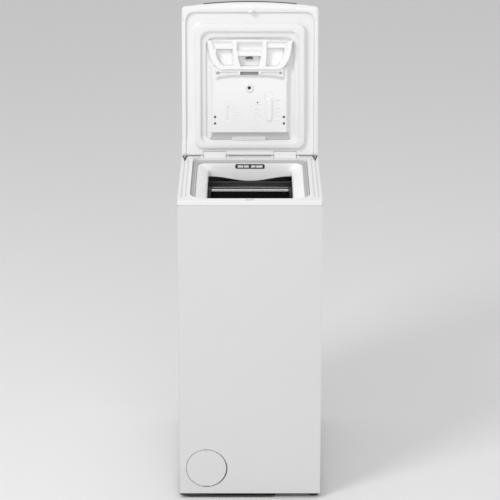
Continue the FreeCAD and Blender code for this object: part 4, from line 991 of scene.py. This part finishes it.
def door_edges(name, start, end, half):
    """Rolled hinge barrel and the raised latch strip along each drum door."""
    body = "drum_door_" + name
    centre = JOINTS[body + "_hinge"]["pos_m"]
    turns = [math.radians(30 * k) for k in range(12)]
    rings = []
    for k in range(45):
        r = (2.4 if (k // 3) % 2 == 0 else 1.6) * MM
        rings.append([(-half + 2 * half * k / 44, centre[1] + r * math.cos(a),
                       centre[2] + r * math.sin(a)) for a in turns])
    # the barrel's near-black steel is painted shade
    lofted(body + "_barrel", rings, "drum_steel", body, material="painted_shade_steel")
    near, outward = (end, 1) if name == "front" else (start, -1)

    def strip(part, profile, material):
        rings = [[drum_xyz(x, near - outward * d * MM / DRUM_R, DRUM_R + h * MM)
                  for d, h in profile] for x in (-half, -half + 0.002, half - 0.002, half)]
        lofted("%s_%s" % (body, part), rings, "drum_steel", body, material=material)

    if name == "front":
        # the front latch's darker steel is painted shade
        strip("latch", [(0.0, -3.0), (0.0, 0.6), (0.5, 1.2), (2.4, 1.2), (3.0, 0.1), (3.0, -1.4),
                        (1.2, -1.4), (1.2, -3.0)], "painted_dim_steel")
        return
    # the rear latch's bright bearing steel is a painted highlight along the doors' join; its
    # bead's darker steel is painted shade
    strip("latch", [(0.0, -3.0), (0.0, 0.2), (5.2, 0.3), (6.0, 1.2), (7.4, 2.0), (9.0, 2.0),
                    (10.4, 1.2), (11.2, 0.0), (11.2, -1.4), (1.2, -1.4), (1.2, -3.0)],
          "bearing_steel")
    strip("bead", [(28.4, 0.0), (29.0, 1.0), (30.4, 1.7), (32.0, 1.7), (33.4, 1.0), (34.0, 0.0),
                   (34.0, -1.0), (28.4, -1.0)], "painted_dim_steel")


# ---- springs, bellows, hoses and belt ------------------------------------------------
def coil_springs():
    """Four wire coils that carry the tub from the side panels."""
    low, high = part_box("suspension_springs")
    coil, wire, turns, steps = 7.6 * MM, 1.35 * MM, 24, 14
    middle = 9.0 * MM
    number = 0
    for x in (low.x + middle, high.x - middle):
        for y in (low.y + middle, high.y - middle):
            number += 1
            path = []
            for k in range(turns * steps + 1):
                f = k / (turns * steps)
                r = coil * ease(f, 0.02, 0.09) * ease(1 - f, 0.02, 0.09) + 0.4 * MM
                angle = 2 * math.pi * k / steps
                path.append(Vector((x + r * math.cos(angle), y + r * math.sin(angle),
                                    low.z + (high.z - low.z) * f)))
            mesh = sweep_mesh("spring", path, [wire] * len(path), sides=8)
            finish_piece("suspension_spring_%d" % number, mesh, "spring_steel", "tub",
                         ["suspension_springs"] if number == 1 else (), smooth_deg=60,
                         across=("cabinet", (x, y, low.z + 0.012), (x, y, high.z - 0.012)))


def mouth_bellows():
    """Ribbed rubber collar in the tub's mouth, on the curve of the tub."""
    low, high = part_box("tub_bellows")
    x1, y0, y1 = high.x / MM, low.y / MM, high.y / MM
    centre_y, centre_z = DRUM_Y / MM, DRUM_Z / MM
    tub_r = DRUM_R / MM + 13.6
    rings = []
    for lift, steps in ((0.9, range(19)), (-0.9, range(18, -1, -1))):
        for f in (k / 18.0 for k in steps):
            radius = tub_r + 1.5 * math.cos(6 * math.pi * f) + lift
            loop = round_loop(-x1 + 8 * f, x1 - 8 * f, y0 + 4.4 * f, y1 - 10.6 * f, 1 + 15 * f)
            rings.append([mm(x, y, centre_z + math.sqrt(radius ** 2 - (y - centre_y) ** 2))
                          for x, y in loop])
    lofted("tub_bellows_ribs", rings, "bellows_rubber", "tub", ["tub_bellows"], ends="joined",
           smooth_deg=60)


def hose_mesh(name, route, radius, rib, pitch, cuff):
    """Corrugated tube on one smooth line through its route, with plain cuffs. All in mm."""
    curve = bpy.data.curves.new(name, "CURVE")
    curve.dimensions = "3D"
    spline = curve.splines.new("NURBS")
    spline.points.add(len(route) - 1)
    for point, place in zip(spline.points, route):
        point.co = (place[0] * MM, place[1] * MM, place[2] * MM, 1.0)
    spline.order_u = 3
    spline.use_endpoint_u = True
    spline.resolution_u = 16
    guide = bpy.data.objects.new(name, curve)
    line = bpy.data.meshes.new_from_object(guide)
    bpy.data.objects.remove(guide)
    points = [v.co.copy() for v in line.vertices]
    length = sum((b - a).length for a, b in zip(points, points[1:])) / MM
    path = [Vector(p) for p in sample_chain(points, int(length / (pitch / 4)))]
    radii = []
    for index in range(len(path)):
        s = length * index / (len(path) - 1)
        depth = rib * ease(min(s, length - s), cuff, cuff + pitch)
        radii.append((radius - depth * (0.5 - 0.5 * math.cos(2 * math.pi * s / pitch))) * MM)
    return sweep_mesh(name, path, radii, sides=16)


def hose(name, route, radius, rib, pitch, cuff, slot="hose_rubber", body="cabinet", across=None):
    """The visible tube of one hose, in the place of its CAD node."""
    mesh = hose_mesh(name, route, radius, rib, pitch, cuff)
    finish_piece(name + "_tube", mesh, slot, body, [name], smooth_deg=60, across=across)


def hoses():
    """The drain, fill and sump hoses along the CAD's routes, their clamps and the spigot."""
    drain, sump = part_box("drain_hose"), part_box("sump_hose")
    drain_route = [(-74, -188, 100), (-74, -140, 100), (-72, -84, 84), (-62, -30, 76),
                   (-60, 24, 75), (-60, 80, 76), (-61, 136, 78), (-70, 190, 84), (-90, 236, 104),
                   (-118, 266, 146), (-142, 279, 198), (-160, 281.5, 252), (-170, 281, 306),
                   (-172, 282, 362), (-172.5, 281, 418), (-172, 282, 474), (-171, 281, 530),
                   (-170, 282, 586), (-168, 281, 636), (-159, 277, 682), (-150, 270, 724),
                   (-150, 269, 754)]
    fill_route = [(110, 260, 820), (75, 260, 820), (40, 246, 828), (14, 214, 838), (2, 176, 847),
                  (0, 136, 850)]
    sump_route = [(-20, -8, 321.9), (-20, -8, 290), (-25, -20, 256), (-40, -48, 228),
                  (-62, -90, 212), (-86, -136, 206), (-107, -182, 202), (-124, -226, 192),
                  (-124, -230, 156.4)]
    hose("drain_hose", drain_route, 9.0, rib=1.5, pitch=5.0, cuff=24.0)
    end_x, end_z = drain_route[-1][0] * MM, drain[1].z - 0.015
    spout = [(0, 13.6), (0.6, 15), (29.4, 15), (30, 13.4), (30.4, 12)]
    for k in range(4):
        spout += [(31.5 + 3.4 * k, 12.0), (32.4 + 3.4 * k, 11.2), (34.2 + 3.4 * k, 12.0)]
    spout += [(46, 11.0), (46, 8.6), (8, 8.5)]
    body = turned_mesh("spigot", spout, (end_x, drain[1].y - 0.046, end_z), (0, 1, 0))
    neck = turned_mesh("neck", [(0, 10.4), (0.8, 11), (14, 11), (18, 11.6)],
                       (end_x, 0.269, end_z - 0.025), (0, 0, 1))
    finish_piece("drain_spigot", joined_mesh("drain_spigot", [body, neck]), "hose_rubber",
                 "cabinet", material="tub_plastic")
    hose("fill_hose", fill_route, 7.0, rib=0.5, pitch=6.0, cuff=18.0)
    hose("sump_hose", sump_route, 12.0, rib=2.2, pitch=8.0, cuff=20.0, slot="bellows_rubber",
         body="tub", across=("cabinet", (-0.02, -0.008, sump[1].z - 0.02), (-0.12, -0.22, 0.19)))
    clamp = [(-4, 0.4), (-4, 1.0), (-3.4, 1.3), (3.4, 1.3), (4, 1.0), (4, 0.4)]
    places = (("tub", (-0.02, -0.008, sump[1].z - 0.010), (0, 0, 1), 12.0),
              ("cabinet", (-0.124, -0.230, 0.166), (0, 0, 1), 12.0),
              ("cabinet", (-0.074, -0.178, 0.100), (0, 1, 0), 9.0),
              ("cabinet", (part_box("fill_hose")[1].x - 0.008, 0.260, 0.820), (1, 0, 0), 7.0))
    for number, (body, centre, axis, radius) in enumerate(places, 1):
        mesh = turned_mesh("clamp", [(d, radius + r) for d, r in clamp], centre, axis)
        finish_piece("hose_clamp_%d" % number, mesh, "pin_steel", body)


def ribbed_belt():
    """Belt with five ribs on its inner side, round both pulleys."""
    low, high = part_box("drive_belt")
    big, small = ((b.y - a.y) / 2 for a, b in (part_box("drum_pulley"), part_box("motor_pulley")))
    small -= 5.0 * MM    # the motor pulley's flanges stand out by this much
    motor_y, motor_z = JOINTS["motor_spin"]["pos_m"][1:]
    dy, dz = motor_y - DRUM_Y, motor_z - DRUM_Z
    along = math.atan2(dz, dy)
    lean = math.acos((big - small) / math.hypot(dy, dz))
    stations = []
    for k in range(97):
        stations.append((DRUM_Y, DRUM_Z, big, along + lean + (2 * math.pi - 2 * lean) * k / 96))
    for k in range(25):
        stations.append((motor_y, motor_z, small, along - lean + 2 * lean * k / 24))
    ribs = 5
    width = (high.x - low.x) / ribs
    section = [(low.x, 3.0 * MM)]
    for k in range(ribs):
        section += [(low.x + width * (k + 0.1), 1.6 * MM), (low.x + width * (k + 0.35), 0.45 * MM),
                    (low.x + width * (k + 0.65), 0.45 * MM), (low.x + width * (k + 0.9), 1.6 * MM)]
    section.append((high.x, 3.0 * MM))
    rings = [[(x, y + (r + lift) * math.cos(a), z + (r + lift) * math.sin(a))
              for x, lift in section]
             for y, z, r, a in stations]
    lofted("drive_belt_ribbed", rings, "belt_rubber", "tub", ["drive_belt"], ends="joined")


# ---- rear, screws and console ----------------------------------------------------------
def rear_details():
    """Pressed beads of the rear panel, and the inlet's thread."""
    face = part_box("rear_panel")[1].y / MM
    for number, z in enumerate((230.0, 330.0, 430.0, 530.0, 630.0), 1):
        rings = []
        for inset, lift in ((0.0, -0.3), (0.2, 0.1), (1.6, 0.8), (3.4, 1.1), (7.5, 1.2),
                            (9.5, 0.9)):
            loop = round_loop(-120 + inset, 120 - inset, z - 12 + inset, z + 12 - inset,
                              11.5 - inset)
            rings.append(upright_ring(loop, face + lift))
        lofted("rear_panel_bead_%d" % number, rings, "rear_zinc", "cabinet")
    inlet = next(m for m in frame["record"]["mounts"] if m["name"] == "water_inlet")["pos_m"]
    profile = [(-5.6, 12.9)]
    for k in range(7):
        profile += [(-5.2 + 1.8 * k, 13.05), (-4.6 + 1.8 * k, 13.6), (-4.0 + 1.8 * k, 13.05)]
    profile += [(7.6, 12.6), (7.8, 9.2), (-5.6, 9.1)]
    mesh = turned_mesh("thread", profile, inlet, (0, 1, 0), sides=40)
    finish_piece("inlet_thread", mesh, "tub_plastic", "cabinet")


def screw_mesh(x, z, base_y):
    """Pan-head screw with a cross recess and a ridged shank, axis along Y."""
    rings_count, sides, radius = 20, 48, 3.9
    points, faces = [], []
    for i in range(rings_count + 1):
        r = radius * i / rings_count
        for k in range(sides):
            angle = 2 * math.pi * k / sides
            u, v = r * math.cos(angle), r * math.sin(angle)
            dome = 0.75 * math.sqrt(max(0.0, 1 - (r / radius) ** 4))
            arm = min(max(abs(u) / 0.45, abs(v) / 2.1), max(abs(v) / 0.45, abs(u) / 2.1))
            points.append(mm(x + u, base_y + dome - 0.6 * (1 - ease(arm, 0.8, 1.15)), z + v))
    for i in range(rings_count):
        for k in range(sides):
            a, b = i * sides + k, i * sides + (k + 1) % sides
            faces.append((a, b, b + sides, a + sides))
    head = mesh_from("head", points, faces)
    profile = [(-7.4, 0.8)]
    for k in range(9):
        profile += [(-7.0 + 0.8 * k, 1.4), (-6.6 + 0.8 * k, 1.85)]
    shank = turned_mesh("shank", profile, (x * MM, base_y * MM, z * MM), (0, 1, 0), sides=16)
    return joined_mesh("screw", [head, shank])


def rear_screws():
    """Ten screws down both sides of the rear panel."""
    low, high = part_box("cabinet_screws")
    x_far, z_low, z_high = high.x / MM - 4, low.z / MM + 4, high.z / MM - 4
    places = [(x, z) for z in (z_low, 250.0, 450.0, 650.0, z_high) for x in (-x_far, x_far)]
    for number, (x, z) in enumerate(places, 1):
        finish_piece("cabinet_screw_%d" % number, screw_mesh(x, z, high.y / MM - 0.6), "pin_steel",
                     "cabinet", ["cabinet_screws"] if number == 1 else (), smooth_deg=30)


def flat_mark(name, loop, z, body, material, height=0.25):
    """A thin mark on a level surface."""
    rings = [flat_ring(loop, z - 0.2), flat_ring(loop, z + height)]
    return lofted(name, rings, "black_plastic", body, material=material)


def centre_mm(node):
    """X and Y of a node's middle and Z of its top, in mm."""
    low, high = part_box(node)
    return (low.x + high.x) / 2 / MM, (low.y + high.y) / 2 / MM, high.z / MM


def console_details():
    """Dial ticks, pointer, lamps and the figures of the display."""
    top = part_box("control_fascia")[1].z / MM
    ink = "grip_rubber"
    knob_x, knob_y = (c / MM for c in JOINTS["programme_knob_turn"]["pos_m"][:2])
    for k in range(16):
        angle = math.radians(22.5 * k)
        near, far, wide = (24.5, 27.5, 0.45) if k % 4 else (24.5, 29.5, 0.75)
        ux, uy = math.cos(angle), math.sin(angle)
        loop = [(knob_x + r * ux - s * wide * uy, knob_y + r * uy + s * wide * ux)
                for r, s in ((near, -1), (far, -1), (far, 1), (near, 1))]
        flat_mark("dial_tick_%d" % (k + 1), loop, top, "cabinet", ink)
    flat_mark("knob_pointer", round_loop(knob_x - 1.1, knob_x + 1.1, knob_y + 6, knob_y + 18, 1.0),
              centre_mm("programme_knob")[2], "programme_knob", ink)
    for number in (1, 2):
        button = "option_button_%d" % number
        x, y, button_top = centre_mm(button)
        lamp_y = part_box(button)[0].y / MM - 7
        flat_mark("option_lamp_%d" % number,
                  round_loop(x - 3, x + 3, lamp_y - 0.9, lamp_y + 0.9, 0.8), top, "cabinet",
                  "button_plastic")
        flat_mark("option_mark_%d" % number, round_loop(x - 4, x + 4, y - 0.6, y + 0.6, 0.5),
                  button_top, button, ink)
    x, y, button_top = centre_mm("start_button")
    triangle = [(x + 3.8 * math.cos(math.radians(a)), y + 3.8 * math.sin(math.radians(a)))
                for a in (0, 120, 240)]
    flat_mark("start_mark", triangle, button_top, "start_button", ink)
    _, middle, glass = centre_mm("display_window")
    strokes = {0: (-3.4, 3.4, 9.2, 10.6), 1: (2.6, 4.0, 1.2, 9.0), 2: (2.6, 4.0, -9.0, -1.2),
               3: (-3.4, 3.4, -10.6, -9.2), 4: (-4.0, -2.6, -9.0, -1.2), 5: (-4.0, -2.6, 1.2, 9.0),
               6: (-3.4, 3.4, -0.7, 0.7)}
    figures = {1: (1, 2), 2: (0, 1, 6, 4, 3), 0: (0, 1, 2, 3, 4, 5)}
    for place, figure in ((-18.0, 1), (2.0, 2), (18.0, 0)):
        for stroke in figures[figure]:
            a, b, c, d = strokes[stroke]
            flat_mark("display_bar_%d_%d" % (figure, stroke),
                      round_loop(place + a, place + b, middle + c, middle + d, 0.5, corner=3,
                                 side=2), glass, "cabinet", "button_plastic", 0.1)


# ---- stage -------------------------------------------------------------------------
def stage():
    bpy.ops.mesh.primitive_plane_add(size=60, location=(0, 0, 0))
    floor = bpy.context.object
    floor.name = "floor"
    floor.data.materials.append(node_material("pale_floor", (0.86, 0.86, 0.86), 0.6, grain=40,
                                              grain_bump=0.02, tint=0.005))
    world = bpy.data.worlds.new("studio")
    bpy.context.scene.world = world
    world.use_nodes = True
    background = world.node_tree.nodes["Background"]
    background.inputs["Color"].default_value = (1, 1, 1, 1)
    background.inputs["Strength"].default_value = 0.60

    def soft_light(name, place, aim, size, power):
        light = bpy.data.lights.new(name, "AREA")
        light.shape = "RECTANGLE"
        light.size, light.size_y = size
        light.energy = power
        lamp = bpy.data.objects.new(name, light)
        bpy.context.scene.collection.objects.link(lamp)
        lamp.location = place
        lamp.rotation_mode = "QUATERNION"
        lamp.rotation_quaternion = (Vector(aim) - Vector(place)).to_track_quat("-Z", "Y")

    soft_light("key", (-2.4, -2.6, 3.9), (0, 0, 0.9), (1.3, 1.3), 80)
    soft_light("front_fill", (0.8, -5.3, 2.6), (0, 0, 0.7), (2.2, 2.2), 42)
    soft_light("top", (0.3, 0.6, 4.4), (0, 0, 0.9), (2.0, 2.0), 18)
    bpy.context.scene.view_settings.view_transform = "Standard"


def camera():
    """The viewpoint: a long lens, level across, looking slightly down."""
    distance, pitch, aim_z = 6.5, math.radians(18.4), 0.646
    data = bpy.data.cameras.new("camera")
    data.sensor_width = 36.0
    data.lens = 161.8
    view = bpy.data.objects.new("camera", data)
    bpy.context.scene.collection.objects.link(view)
    view.location = (0, -distance * math.cos(pitch), aim_z + distance * math.sin(pitch))
    view.rotation_mode = "XYZ"
    view.rotation_euler = (math.pi / 2 - pitch, 0, 0)
    bpy.context.scene.camera = view


camera()
stage()
dress_cad_nodes()
top_frame_details()
filter_cover_details()
castor_lever_bar()
lid_corner_shadows()
hinge_arms()
lid_inner_panel()
lid_side_rims()
lid_front_band()
dispenser_shell()
dispenser_outlet()
dispenser_siphon()
lid_seal_profile()
funnel_shell()
water_jets()
drum_pieces()
coil_springs()
mouth_bellows()
hoses()
ribbed_belt()
rear_details()
rear_screws()
console_details()
